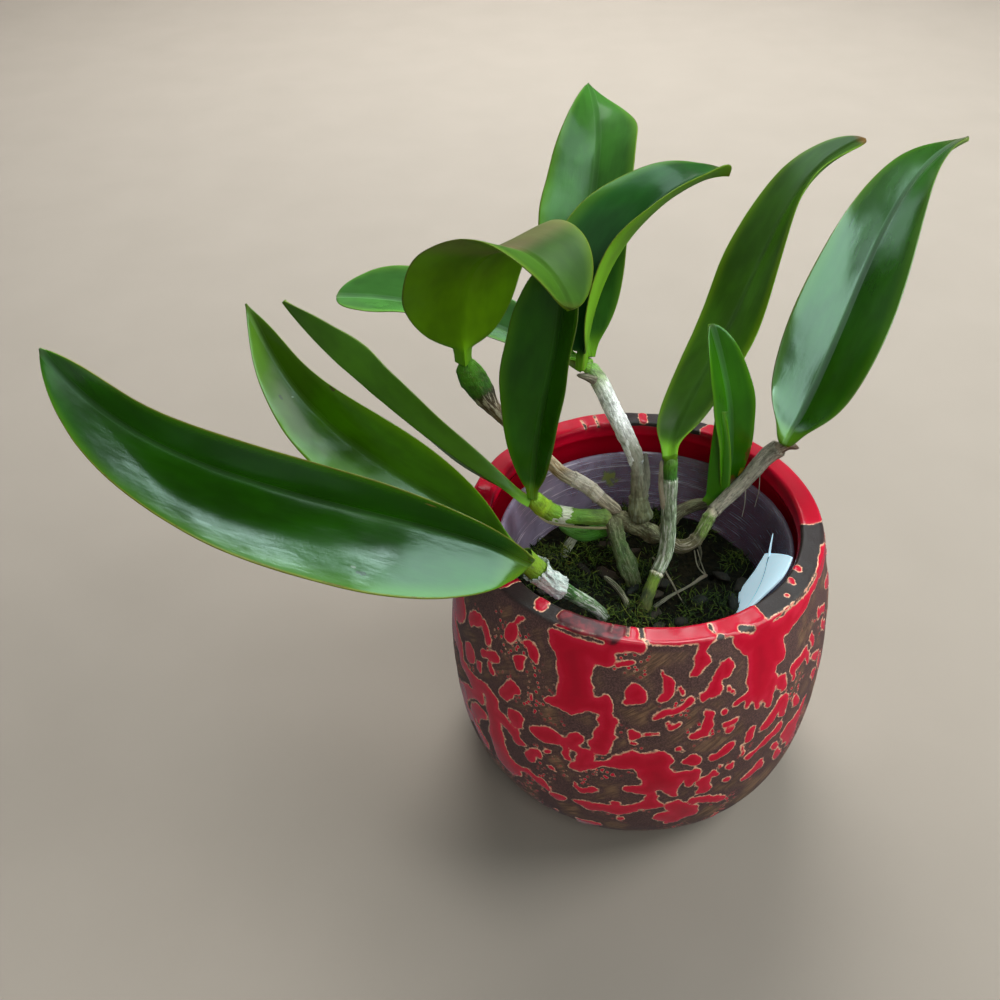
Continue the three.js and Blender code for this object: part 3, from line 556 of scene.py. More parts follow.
# Canes from foot to tip: points are x, y, z and radius. ramp gives colours at shares of the length,
# where 0 to 0.8 is the first stem and the rest serves for side stems, sheaths and leaf bases, as spans
# says. fibre is the colour and strength of the light lengthwise streaks, speck of the small spots,
# dark the strength of the dark streaks, and papery the shares where streaks lie. caneShared holds for
# each cane that says nothing else.
caneShared = {"spans": [(0, 0.8)], "lump": 0.1, "joints": (), "husks": [], "papery": (-1, 2), "dark": 0.5}
canes = {
    "cane_front_left": {
        "slot": "grey_sheath", "fibre": ((206, 208, 202), 0.6), "speck": ((60, 62, 46), 0.5), "dark": 0.45,
        "papery": (0.1, 0.95),
        "ramp": [(0, (44, 54, 28)), (0.22, (86, 112, 74)), (0.4, (104, 140, 92)), (0.435, (112, 146, 98)),
                 (0.45, (40, 90, 22)), (0.52, (44, 94, 20)), (0.535, (182, 200, 192)),
                 (0.9, (186, 204, 196)), (1, (112, 148, 24))],
        "stems": [
            ((-11.5, -13, 56, 2), (-12.3, -15, 66, 2), (-16.5, -17.5, 74, 2), (-21.9, -20.5, 81.5, 2.1),
             (-30, -23, 91, 2.5), (-35.5, -24.7, 99.5, 2.5), (-37.4, -25, 102.6, 2.3))],
        "husks": [dict(start=0.655, stop=0.88, shade=0.9, grow=0.75, rag=(0.9, 2.0), wrinkle=0.7,
                       flare=1.0),
                  dict(start=0.84, stop=1.0, shade=1.0, grow=0.7, rag=(0.3, 0.4), wrinkle=0.05,
                       flare=0.05)],
    },
    "cane_green_shoot": {
        "slot": "green_stem", "fibre": ((150, 188, 60), 0.15), "speck": ((110, 110, 50), 0.12), "dark": 0.06,
        "joints": (0.08, 0.74),
        "ramp": [(0, (120, 118, 78)), (0.06, (96, 124, 50)), (0.3, (84, 132, 22)), (0.5, (98, 148, 10)),
                 (0.66, (136, 172, 16)), (0.8, (116, 160, 14)), (0.88, (196, 204, 180)),
                 (0.92, (170, 160, 120)), (1, (112, 160, 20))],
        "stems": [
            ((-7.5, 12.5, 83.8, 2.4), (-12, 11.8, 84.4, 2.6), (-18, 11.4, 85.3, 2.7),
             (-25.5, 11.3, 86.7, 3), (-30, 12, 89.3, 3.1), (-33.3, 10.8, 94.8, 2.7)),
            ((-31.5, 9.6, 87.8, 0.3), (-28, 8.6, 85.6, 0.4), (-20, 8.7, 83.4, 0.4), (-12, 9.2, 82, 0.45),
             (-8, 10, 81.4, 0.4))],
        "spans": [(0, 0.8), (0.92, 0.92)],
        "husks": [dict(start=0.44, stop=0.6, shade=0.88, grow=0.02, rag=(2.4, 2.8), wrinkle=0.12,
                       flare=0.1)],
    },
    "cane_back_left": {
        "slot": "tan_sheath", "fibre": ((206, 196, 170), 0.5), "speck": ((92, 78, 46), 0.4), "dark": 0.3,
        "joints": (0.17, 0.45), "papery": (-1, 0.66),
        "ramp": [(0, (110, 102, 80)), (0.12, (150, 142, 120)), (0.2, (188, 182, 166)),
                 (0.27, (120, 98, 66)), (0.31, (164, 138, 102)), (0.52, (138, 112, 78)),
                 (0.6, (78, 58, 38)), (0.655, (50, 40, 26)), (0.675, (46, 90, 8)), (0.8, (66, 120, 10)),
                 (1, (96, 140, 30))],
        "stems": [
            ((-4.4, 13.4, 84.4, 1.7), (-7, 14.5, 86, 2), (-11.2, 16, 89, 2.2), (-15, 18.6, 91.6, 2.3),
             (-24, 20.8, 96.8, 2.2), (-28.5, 23.5, 100.5, 2.1), (-43.5, 30.5, 114, 2.3), (-48, 33, 120, 4),
             (-51.2, 34.8, 125.6, 4.1), (-53, 35, 130.4, 2.9))],
        "husks": [dict(start=0.12, stop=0.27, shade=0.19, grow=0.12, rag=(0.3, 2.4), wrinkle=0.14,
                       flare=0.15)],
    },
    "cane_white": {
        "slot": "white_sheath", "fibre": ((124, 134, 112), 0.45), "speck": ((104, 98, 72), 0.35),
        "dark": 0.45, "joints": (0.16, 0.3, 0.72), "lump": 0.18,
        "ramp": [(0, (72, 76, 42)), (0.1, (98, 100, 66)), (0.18, (118, 116, 88)), (0.34, (178, 176, 160)),
                 (0.42, (232, 234, 230)), (0.55, (250, 254, 252)), (0.66, (222, 228, 216)),
                 (0.72, (150, 172, 120)), (0.8, (96, 158, 36)), (0.9, (140, 128, 112)),
                 (1, (110, 166, 40))],
        "stems": [
            ((2.2, 12.8, 80.5, 3.8), (1.6, 14.8, 85.8, 3.9), (1.2, 15.8, 90, 2.6), (0.8, 16.6, 94, 2.3),
             (0.1, 19.8, 101, 2.4), (-2.4, 26, 105.8, 2.6), (-5.8, 34.3, 110, 2.7),
             (-10.2, 42.5, 116.8, 2.6), (-14, 44.5, 121.5, 2.6)),
            ((2, 15.3, 89, 2.2), (3.2, 17.2, 96, 1.5), (3.2, 20.2, 103.5, 0.5)),
            ((-10.5, 41.5, 117, 2), (-14, 41.5, 118.6, 1.2), (-17.4, 41.6, 119.4, 0.5)),
            ((-13.6, 44.5, 121, 2.4), (-13.6, 46.4, 123, 2.2)),
            ((-13.8, 44, 121, 2.4), (-15.1, 42, 123, 2.2))],
        "spans": [(0, 0.8), (0.2, 0.26), (0.9, 0.9), (1, 1), (1, 1)],
        "husks": [dict(start=0.36, stop=0.86, shade=0.5, grow=0.12, rag=(2.2, 3.4), wrinkle=0.16,
                       flare=0.15)],
    },
    "cane_upright": {
        "slot": "white_sheath", "fibre": ((206, 212, 198), 0.7), "speck": ((72, 84, 40), 0.35), "dark": 0.6,
        "joints": (0.312,), "papery": (0.25, 0.7),
        "ramp": [(0, (74, 50, 34)), (0.06, (88, 72, 48)), (0.11, (84, 90, 34)), (0.15, (60, 72, 24)),
                 (0.19, (100, 122, 34)), (0.247, (98, 130, 28)), (0.255, (206, 200, 170)),
                 (0.265, (130, 146, 110)), (0.5, (128, 148, 112)), (0.695, (150, 166, 136)),
                 (0.706, (40, 94, 12)), (0.76, (74, 134, 18)), (0.9, (170, 164, 138)), (1, (74, 130, 26))],
        "stems": [
            ((1, -10, 57, 2.1), (0.9, -11, 65, 2.1), (4.5, -4.5, 71.5, 2), (8.3, 0.3, 77.5, 2.2),
             (9, 2, 84, 2.3), (8.4, 3, 97, 2.2), (7.8, 3.6, 110.8, 2.2), (7.9, 4.4, 114.8, 1.9)),
            ((7.8, 2.9, 95, 1.8), (5.7, 3, 104, 1.1), (5, 3.8, 113, 0.5))],
        "spans": [(0, 0.8), (0.9, 0.9)],
        "husks": [dict(start=0.326, stop=0.872, shade=0.5, grow=0.1, rag=(0.3, 0.5), wrinkle=0.14,
                       flare=0.12)],
    },
    "cane_right": {
        "slot": "grey_sheath", "fibre": ((176, 168, 150), 0.45), "speck": ((66, 52, 40), 0.75),
        "joints": (0.2, 0.36),
        "ramp": [(0, (70, 64, 38)), (0.17, (86, 80, 50)), (0.2, (88, 112, 34)), (0.3, (104, 134, 56)),
                 (0.325, (206, 200, 170)), (0.35, (128, 124, 104)), (0.55, (132, 128, 110)),
                 (0.7, (134, 136, 116)), (0.8, (124, 108, 88)), (0.9, (92, 64, 44)), (1, (92, 64, 44))],
        "stems": [
            ((9.5, 6, 78.5, 2.2), (14, 4, 77.5, 2.3), (18.8, 5, 79.6, 2.1), (24.2, 10, 86, 2),
             (35, 16, 94.3, 2.2), (42, 19.6, 101.2, 2.6), (46.2, 19.6, 104.9, 2.5)),
            ((44.2, 19.4, 103.3, 2), (48, 19.2, 105, 1.4), (51, 18.4, 104.4, 0.6)),
            ((35, 14.2, 92, 0.16), (35.3, 13.6, 86, 0.14), (35.2, 13.8, 80.5, 0.1)),
            ((39.5, 16.6, 96, 0.16), (39.9, 16, 90, 0.14), (39.6, 16.2, 82.5, 0.1))],
        "spans": [(0, 0.8), (0.82, 0.92), (0.325, 0.325), (0.325, 0.325)],
        "husks": [dict(start=0.41, stop=0.97, shade=0.56, grow=0.15, rag=(1.0, 0.8), wrinkle=0.22,
                       flare=0.2)],
    },
    "rhizome": {
        "slot": "brown_stem", "fibre": ((128, 136, 98), 0.4), "speck": ((158, 160, 130), 0.35),
        "joints": (0.8,), "lump": 0.24,
        "ramp": [(0, (50, 62, 30)), (0.3, (70, 90, 46)), (0.55, (66, 92, 40)), (0.7, (78, 88, 50)),
                 (0.8, (90, 86, 58)), (0.9, (64, 60, 36)), (1, (60, 48, 28))],
        "stems": [
            ((0.6, 5, 56, 2.1), (-1, 0.4, 66, 2.5), (-3.3, 3.4, 72, 2.7), (-6, 9, 78.5, 2.5),
             (-7.2, 12.5, 84.5, 3)),
            ((-7.2, 12.5, 84.5, 2.8), (-2.5, 13.2, 81.2, 2.6), (2.5, 11, 79.2, 2.8), (8, 6.2, 79, 3)),
            ((8, 6.8, 79.5, 2.4), (13.5, 14.5, 82, 2), (20, 17.5, 83, 1.9), (27.4, 18.6, 83.4, 2))],
        "spans": [(0, 0.8), (0.82, 0.9), (0.9, 1)],
    },
    "growing_bud": {
        "slot": "green_stem", "fibre": ((90, 150, 60), 0.3), "speck": ((60, 100, 30), 0.2), "dark": 0.2,
        "lump": 0.05,
        "ramp": [(0, (60, 110, 30)), (0.3, (50, 116, 20)), (0.8, (74, 124, 40)), (1, (90, 140, 60))],
        "stems": [
            ((-6.5, 11, 79.5, 1.4), (-10.5, 13.8, 76.8, 2.4), (-17, 12.9, 76, 2.2),
             (-24.3, 16.4, 76.6, 0.6))],
    },
    "root_tip": {
        "slot": "root", "fibre": ((200, 204, 190), 0.5), "speck": ((100, 110, 70), 0.5),
        "ramp": [(0, (120, 120, 92)), (0.4, (140, 150, 120)), (0.6, (150, 160, 136)),
                 (0.8, (100, 112, 76)), (1, (110, 120, 86))],
        "stems": [
            ((-13.5, 22, 60, 1.2), (-15.5, 22, 66.5, 1.3), (-18.5, 19.8, 68.6, 1.4),
             (-21.8, 16.6, 65.5, 1.5), (-23, 15.2, 60, 1.2))],
    },
    "root_thin": {
        "slot": "root", "fibre": ((190, 186, 160), 0.5), "speck": ((90, 80, 60), 0.3),
        "ramp": [(0, (96, 92, 66)), (0.8, (70, 66, 44)), (0.9, (138, 134, 108)), (1, (66, 70, 38))],
        "stems": [
            ((20, 5.8, 77, 0.5), (21.8, 8, 70.5, 0.4), (22, 9.5, 60, 0.4)),
            ((18.4, 4, 76, 0.2), (19.7, 1.1, 71, 0.2), (22.6, -0.6, 68, 0.25)),
            ((19.4, 4.2, 76, 0.15), (20.9, 1.6, 71.5, 0.15), (22.2, -0.2, 68.4, 0.2)),
            ((4.3, 0.2, 77, 0.2), (5.5, 0.8, 75, 0.4), (7.1, -0.4, 73, 0.3)),
            ((8.2, -2.3, 73.4, 0.3), (10.7, -5.7, 70, 0.25), (12.7, -8.6, 67, 0.2),
             (14.5, -12, 65.5, 0.15)),
            ((9, -2.3, 73, 0.15), (7.3, -2.8, 70, 0.15), (6.1, -3.8, 67, 0.15)),
            ((-10.8, -0.7, 70, 0.7), (-7.6, -3.9, 69, 0.9), (-4.8, -8.3, 67, 0.9), (-3.8, -12, 64, 0.8))],
        "spans": [(0, 0.8), *[(0.9, 0.9)] * 5, (1, 1)],
    },
    "root_flat": {
        "slot": "root", "fibre": ((176, 172, 150), 0.5), "speck": ((90, 80, 60), 0.4),
        "ramp": [(0, (90, 96, 76)), (0.3, (120, 120, 96)), (0.6, (140, 134, 112)), (0.8, (132, 112, 90)),
                 (1, (116, 104, 82))],
        "stems": [
            ((3.8, -11.5, 66, 0.7), (7.2, -10, 67.6, 0.6), (10.1, -8.4, 68.3, 0.45), (16.3, -5, 68.9, 0.4),
             (21, -1.2, 68.7, 0.55), (22.9, 0.2, 68.2, 0.4))],
    },
}


def stemFinish(name, cane):
    f = Finish(name)
    grain, share = f.vector("grain"), f.value("share")
    fibre = f.noise(grain, 1.5, 3, 0.6, (1.0, 1.0, 0.13))
    blotch = f.noise(grain, 0.8, 3, 0.6, (0.5, 0.5, 0.35))
    flake = f.noise(grain, 1.9, 3, 0.7, (1.0, 1.0, 0.5))
    (streaks, streaky), (specks, speckled), (low, high) = cane["fibre"], cane["speck"], cane["papery"]
    skin = f.ramp(share + (blotch - 0.5) * 0.05, cane["ramp"])
    skin = f.mix(blotch.over(0.55, 0.3) * 0.45, skin, (34, 28, 16))
    papery = share.over(low - 0.02, low + 0.01) * share.over(high + 0.01, high - 0.01)
    skin = f.mix(fibre.over(0.5, 0.6) * papery * streaky, skin, streaks)
    skin = f.mix(fibre.over(0.46, 0.34) * papery * cane["dark"], skin, (44, 40, 24))
    skin = f.mix(flake.over(0.56, 0.64) * speckled, skin, specks)
    return f.surface(Base_Color=skin, Roughness=0.55 + flake * 0.3, Specular_IOR_Level=0.35,
                     Normal=f.bump(fibre + flake * 0.7 + blotch, 0.6, 1.0))


for seed, (name, own) in enumerate(canes.items()):
    cane = {**caneShared, **own}
    parts = [stemShell(points, span=span, seed=seed + 11 * n, lump=cane["lump"],
                       joints=() if n else cane["joints"])
             for n, (points, span) in enumerate(zip(cane["stems"], cane["spans"]))]
    parts += [huskShell(cane["stems"][0], seed=seed + 40 * n, **husk) for n, husk in enumerate(cane["husks"])]
    made = piece(name + "_stem", *joined(parts), stemFinish(name + "_bark", cane))
    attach(made, "root")
    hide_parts(name)
print("canes, rhizome, bud and roots:", len(canes))


# The glazed pot's outline is given as radius and height. Along it, level is the height up to where the
# rim begins and the way travelled from there, until the glaze ends inside the mouth. rimOuter and
# rimInner are the rounded corners: middle, width and height.
pot = {
    "cols": 556, "rimLevel": 94.4, "lastLevel": 103.2, "degree": 1.047, "melt": 0.35,
    "rimOuter": (52.6, 94.4, 1.4, 1.6), "rimTop": ((52, 96), (48.9, 96)), "rimInner": (48.2, 94.8, 1.2, 1.2),
    "foot": [(0.3, 1.2), (38, 1.2), (39, 0.2), (40, 0)],
    "outside": [(42, 0), (49.5, 2.4), (55.8, 11), (59.3, 24), (60.9, 47), (59, 72), (55.6, 88), (54, 94.4)],
    "step": [(46.9, 94), (46.8, 92.8), (46.7, 91.6), (47, 90.8)],
    "inside": [(47.6, 90), (50.5, 82), (53.6, 70), (55.2, 48), (53.5, 26), (46, 10.5), (38, 6)],
    "floor": [(30, 6), (0.3, 6)],
    "swell": 0.25, "relief": 0.22, "raggedness": 0.9, "red": (184, 4, 38), "rearIslands": 95,
}

# Islands of red glaze on the dark ground, each a round-ended bar: angle, level and radius at both
# ends, in degrees and millimetres. Levels up to 94 are heights on the wall, 95 to 103 cross the rim.
islands = [
    (-121.5, 92.5, 3.6, -98, 95.4, 1.6), (-120, 91, 4.6, -108, 91.5, 3.8),
    (-116.2, 88, 5.6, -115.6, 76, 5.3), (-122.6, 70.5, 1, -115, 73.5, 4.6),
    (-115, 72.5, 4, -106, 74.5, 1.8), (-106.8, 76, 1.6, -105, 66, 2.6),
    (-105.4, 64, 2.7, -107.2, 58.5, 3.3), (-103.6, 70, 0.9, -103.2, 63, 0.7),
    (-104, 88.5, 1, -99.5, 89.2, 0.7), (-136.8, 87.3, 2, -138.6, 84.3, 1.8),
    (-136, 90.5, 0.6, -134.5, 92, 0.5), (-130.5, 85.3, 1.3, -129.4, 82.6, 2.2),
    (-134.4, 84.8, 0.6, -131, 84.6, 0.9), (-133.4, 78.3, 1.6, -132, 76.2, 1.4),
    (-156, 77, 2.6, -152, 78.6, 2.4), (-148.2, 79.6, 1.4, -146.6, 76.3, 1.7),
    (-141.2, 73.3, 1.8, -147.8, 70.2, 1.1), (-143, 66.8, 1, -143.4, 68.5, 0.8),
    (-137.6, 62.7, 2.2, -133.7, 68, 1.8), (-128.2, 69, 0.5, -127.8, 67.6, 0.6),
    (-155.2, 62.7, 2.6, -153.9, 65, 2), (-148.9, 63.1, 1.9, -148, 65, 1), (-171, 70, 6, -165, 73, 5),
    (-170, 60, 5.5, -163, 59, 4), (-161, 54, 2.2, -150, 53.6, 2.6), (-151, 54.4, 2, -142, 56.3, 2.4),
    (-132.2, 56.6, 2.6, -132.1, 54.4, 2.6), (-142.2, 55, 2.8, -141, 44, 3.3),
    (-141, 44, 3.3, -140, 34, 3.8), (-140, 33, 4, -137, 27, 5), (-141, 50.6, 2.2, -133.4, 49.2, 2),
    (-132.7, 48.6, 2.2, -131.6, 45.6, 2.3), (-148, 51, 1.8, -155, 45, 2.4), (-155, 45, 2.2, -162, 38, 3),
    (-162, 38, 3, -160, 30, 3.4), (-148.2, 42.6, 2.6, -152.5, 37.5, 2.9), (-155, 32, 2.6, -149, 27, 2.6),
    (-133, 30, 1.6, -129, 32, 1), (-124, 55.4, 2.9, -120.6, 56.2, 3.1),
    (-126.4, 44.4, 1.8, -127.5, 41, 1.9), (-125.2, 45.6, 1.2, -123.5, 44.3, 0.9),
    (-122.5, 48.4, 1, -121.6, 48.6, 0.8), (-120.6, 41.2, 0.9, -120.3, 41, 0.8),
    (-129.2, 31.2, 1.1, -124, 29.4, 2.1), (-124.4, 31.6, 1.5, -122.3, 27.8, 1),
    (-119.8, 25, 1.8, -117, 26.6, 1.8), (-113.4, 60.3, 1.8, -114.4, 57, 2),
    (-116.6, 57, 0.9, -116.2, 50, 1.2), (-114.5, 55.5, 1.1, -109.4, 51.5, 1.2),
    (-110, 53.8, 1.4, -112, 47.5, 2.4), (-113.6, 47, 1.6, -107, 49.8, 1.5),
    (-99.4, 79.6, 2.2, -97.8, 81, 2.3), (-100.4, 76.9, 1.2, -97, 78.8, 1.8),
    (-91, 86.2, 0.7, -90, 83.4, 1.6), (-90, 83, 1.7, -90.4, 78.3, 1.2), (-98.6, 66.3, 0.8, -97.6, 65, 1.7),
    (-97.2, 61.8, 0.5, -96.2, 61.4, 0.5), (-101, 53.6, 3, -97.6, 55.2, 3.2),
    (-105.8, 50.8, 1, -101, 52.2, 2.4), (-94.9, 54, 3.6, -91, 54.5, 3.8), (-92, 50, 4.6, -90, 45, 5.4),
    (-89, 46, 4.6, -86.8, 43, 3.4), (-88.2, 55.4, 1.2, -87, 54.8, 1.2), (-86.4, 46.2, 2.4, -80.4, 46.8, 2),
    (-80.6, 46.2, 2.2, -80.6, 43.2, 2), (-98, 40.4, 1.9, -92, 41.4, 3.4),
    (-85.8, 40.5, 1.2, -86, 37.5, 0.7), (-91.2, 36.6, 2.3, -90, 31.8, 2.5), (-91, 32, 2.3, -96, 29.8, 1.8),
    (-96, 28.4, 2.2, -101, 28.6, 2.2), (-101, 28.4, 2.3, -107.5, 27.6, 2),
    (-108, 26.4, 2.2, -111.6, 28, 1.2), (-100, 22.6, 1.3, -99.6, 22, 1),
    (-102.2, 32.3, 1.1, -101.6, 31.4, 1), (-110.8, 34.6, 1.7, -107.6, 37.4, 1.4),
    (-112.8, 36.6, 0.9, -112, 35.4, 1), (-113.4, 39.3, 0.5, -113.2, 38.6, 0.5),
    (-85.9, 81.5, 0.8, -85.6, 80.8, 0.6), (-92.6, 72.6, 0.6, -86, 74.4, 0.9),
    (-85.4, 75, 1, -83.6, 77.3, 1.2), (-94.4, 66, 0.5, -91, 66.8, 0.5), (-88.2, 69.8, 0.5, -87, 68.2, 0.9),
    (-82.6, 90.7, 1, -80.8, 91, 2.2), (-80.8, 91, 2.1, -82, 86.2, 1.4), (-80.6, 93, 1.3, -78.6, 97, 1.9),
    (-74, 87.4, 2, -72.6, 84.5, 1.9), (-75.2, 86, 1.4, -76.2, 80.6, 2.5),
    (-76.4, 79.6, 2.4, -79.8, 78, 1.3), (-71.8, 78, 0.9, -71.2, 77.4, 0.7),
    (-72.4, 71.6, 1, -72, 70.6, 0.7), (-77.6, 71.2, 1.6, -77.6, 65.6, 1.6),
    (-79.2, 72, 0.6, -78.6, 71.4, 0.6), (-81.6, 63.8, 1.2, -78.8, 65.4, 1.4),
    (-71.8, 65.4, 1, -70.6, 65.2, 1.3), (-71.4, 62.9, 0.7, -70.6, 62.6, 0.5),
    (-84.8, 58.8, 0.9, -84, 58.8, 0.8), (-81.7, 54.2, 1.8, -80.4, 52.9, 1.8),
    (-74.4, 52.8, 2, -70.4, 55.2, 2.2), (-64, 58.5, 1.3, -63, 54.2, 1.2), (-65.6, 52, 0.6, -65.2, 51, 0.5),
    (-66, 49.4, 0.5, -64.8, 50, 0.5), (-68, 93.5, 3, -44, 93.6, 1.2), (-65.5, 91, 3.6, -50, 91, 3.2),
    (-61.5, 87, 4.8, -61, 80, 5), (-57.6, 88, 4.6, -55.6, 83, 3.4), (-50, 89.4, 2, -40, 92, 1.6),
    (-40, 93.4, 1.8, -20, 93.6, 2.4), (-61.8, 80, 4.8, -61.6, 75, 4.4),
    (-66.4, 73.8, 1.6, -68.6, 72.8, 0.9), (-65.2, 72, 1.2, -65.8, 68.5, 0.4),
    (-61.4, 73, 2.2, -62, 67.4, 0.8), (-57.6, 74, 2.2, -58.2, 66, 1), (-54, 73, 1.6, -53, 69, 0.9),
    (-48.2, 72.4, 2, -43.4, 74.6, 2), (-48.6, 70.8, 0.9, -48, 69, 0.5), (-58.4, 57, 1.9, -56.2, 60.6, 1.5),
    (-56.2, 61, 1.4, -52.8, 64, 1.9), (-52.4, 64, 1.9, -51.8, 56, 1.4), (-46.4, 59, 1.2, -45.4, 56, 1.4),
    (-63, 46.2, 1.1, -57.4, 48.8, 1.7), (-57.4, 48.8, 1.7, -52, 51.6, 1.1),
    (-76.6, 42.4, 1.6, -75.6, 36.8, 1.7), (-74.8, 44.6, 1, -74.2, 43.6, 1),
    (-69.2, 45.6, 1, -68.8, 44.8, 0.8), (-72.6, 47.4, 0.8, -72.2, 46.8, 0.6), (-69.8, 39, 1, -69, 38.4, 1),
    (-61.6, 35, 1.2, -57.8, 36, 2), (-58.6, 38.6, 1.2, -57.6, 39, 1), (-46.6, 46, 3.4, -42.4, 37, 3.2),
    (-43, 46, 3, -40, 52, 1.4), (-52.4, 42.6, 1.4, -51.6, 40.8, 1.2), (-50.4, 36.8, 1.6, -48.4, 34.6, 1.4),
    (-84.6, 30.4, 3.2, -80.6, 25, 4.6), (-88, 24.6, 1.6, -84, 21, 3.2), (-78, 32, 1.6, -72, 29.4, 1.9),
    (-72, 29.4, 1.9, -69.4, 27.8, 1.4), (-39.2, 78, 1.4, -37.6, 75, 1.2),
    (-40.8, 72.6, 1.1, -40, 70.8, 0.9), (-32, 82, 1.6, -27, 79, 1.3), (-37, 69, 1.1, -33.6, 66, 1.4),
    (-29, 74.6, 1.2, -25.4, 71, 1.4), (-36, 61, 1, -34, 58.4, 1.4), (-30.6, 62, 1.6, -27.6, 57, 1.6),
    (-22, 84, 1.2, -16, 80, 1.6), (-92.2, 100.4, 4.6, -63.6, 100.4, 4.6), (-94.8, 103, 1.4, -94, 98, 1.6),
    (-60.6, 98.6, 2, -59.4, 103, 1.2), (-103.8, 103, 0.6, -104, 97.4, 0.5),
    (-132.3, 101.6, 1.9, -131.2, 99.2, 1.9), (-147, 98, 2.2, -145.6, 102, 1.2),
    (-46.4, 98.4, 0.4, -46.4, 98.2, 0.4), (-40.4, 99.8, 0.9, -39.2, 100.4, 0.8),
    (-33, 101.2, 1.2, -33.2, 100.6, 1.2), (-122, 99.6, 2.6, -101, 99.4, 2.6),
    (-24, 94.6, 1.6, -12, 91.4, 3), (-12.6, 91, 3, -6, 84, 3.6), (-4.6, 100.4, 4.8, 27, 100, 5),
    (-1, 92, 6, 24, 90, 7), (8, 82, 5, 20, 76, 4), (24, 100.4, 5, 54, 100.2, 5),
    (82.4, 100.6, 1.6, 82.8, 98, 1.6), (97, 100, 4.6, 112, 100, 5), (112, 100, 5, 176, 100, 5),
    (-176, 100, 4.6, -152, 100, 3.4),
]
# Chips and cracks in the islands, and where a dark film lies over the red
gaps = [
    (-75.6, 101.2, 0.6, -75.9, 98, 0.4), (-67.6, 96.6, 1.2, -64.6, 94.9, 1.3),
    (-102, 103, 0.5, -101.8, 98, 0.5), (-74.6, 96, 1.2, -75, 90, 1.6), (-106.8, 103, 0.4, -107, 98.4, 0.3),
    (100.8, 103, 0.6, 101, 97, 0.5), (106.4, 103, 0.4, 106.6, 98, 0.3), (-127, 94.6, 0.5, -108, 94.7, 0.7),
    (-56, 94.6, 0.4, -32, 94.8, 0.6), (-17, 98.6, 1.6, -11.6, 90, 1.2), (-11.6, 90, 1.2, -6, 78, 1.4),
    (-19, 101.4, 3.4, -16, 102.6, 3),
]
veils = [(-121, 99.4, 4.2, -106, 99.4, 4.4)]


# Points along a smooth curve through (radius, height) pairs
def profile(pairs, count):
    return stemLine([(r, 0, z, 0) for r, z in pairs], count)[0][:, [0, 2]]


# Rings of an outline turned about the upright axis, and the angles of their points
def latheRings(outline, cols):
    turn = np.linspace(-np.pi, np.pi, cols, endpoint=False)
    radius, height = outline[:, :1], outline[:, 1:]
    return np.stack([radius * np.cos(turn), radius * np.sin(turn), height + 0 * turn], -1), turn


# Distance inside the nearest bar, in millimetres, negative outside, with neighbours melted together
def insideBars(bars, degrees, level):
    def arc(turn):  # millimetres along the wall, the shorter way round
        return ((turn + 180) % 360 - 180) * pot["degree"]

    total, nothing = 1e-30, 1e-9
    for angle, low, first, lastAngle, high, last in bars:
        x, z, dx, dz = arc(degrees - angle), level - low, arc(lastAngle - angle), high - low
        share = np.clip((x * dx + z * dz) / (dx * dx + dz * dz + nothing), 0, 1)
        depth = first + (last - first) * share - np.hypot(x - share * dx, z - share * dz)
        total = total + np.exp(np.clip(depth / pot["melt"], -60, 60))
    return pot["melt"] * np.log(total)


# Bars strewn over the side away from the usual view and round the foot
def strewnBars(count):
    draw = np.random.default_rng(7)
    angle, level = draw.uniform(-16, 186, count), draw.uniform(12, 93, count)
    angle[:20], level[:20] = draw.uniform(-180, 180, 20), draw.uniform(5, 16, 20)
    big = draw.uniform(0, 1, count) ** 2.5
    lean, length = draw.uniform(-1.2, 2.0, count), draw.uniform(1, 4, count) * (1 + 2 * big)
    far = [angle + length * np.cos(lean), level + length * np.sin(lean)]
    return np.stack([angle, level, 1 + 4.2 * big, *far, 0.9 + 3 * big * draw.uniform(0.4, 1, count)], 1)


# A rounded corner of an outline, from one angle in degrees to another
def corner(radius, height, wide, tall, start, stop):
    turn = np.radians(np.linspace(start, stop, 6))
    return np.stack([radius + wide * np.cos(turn), height + tall * np.sin(turn)], 1)


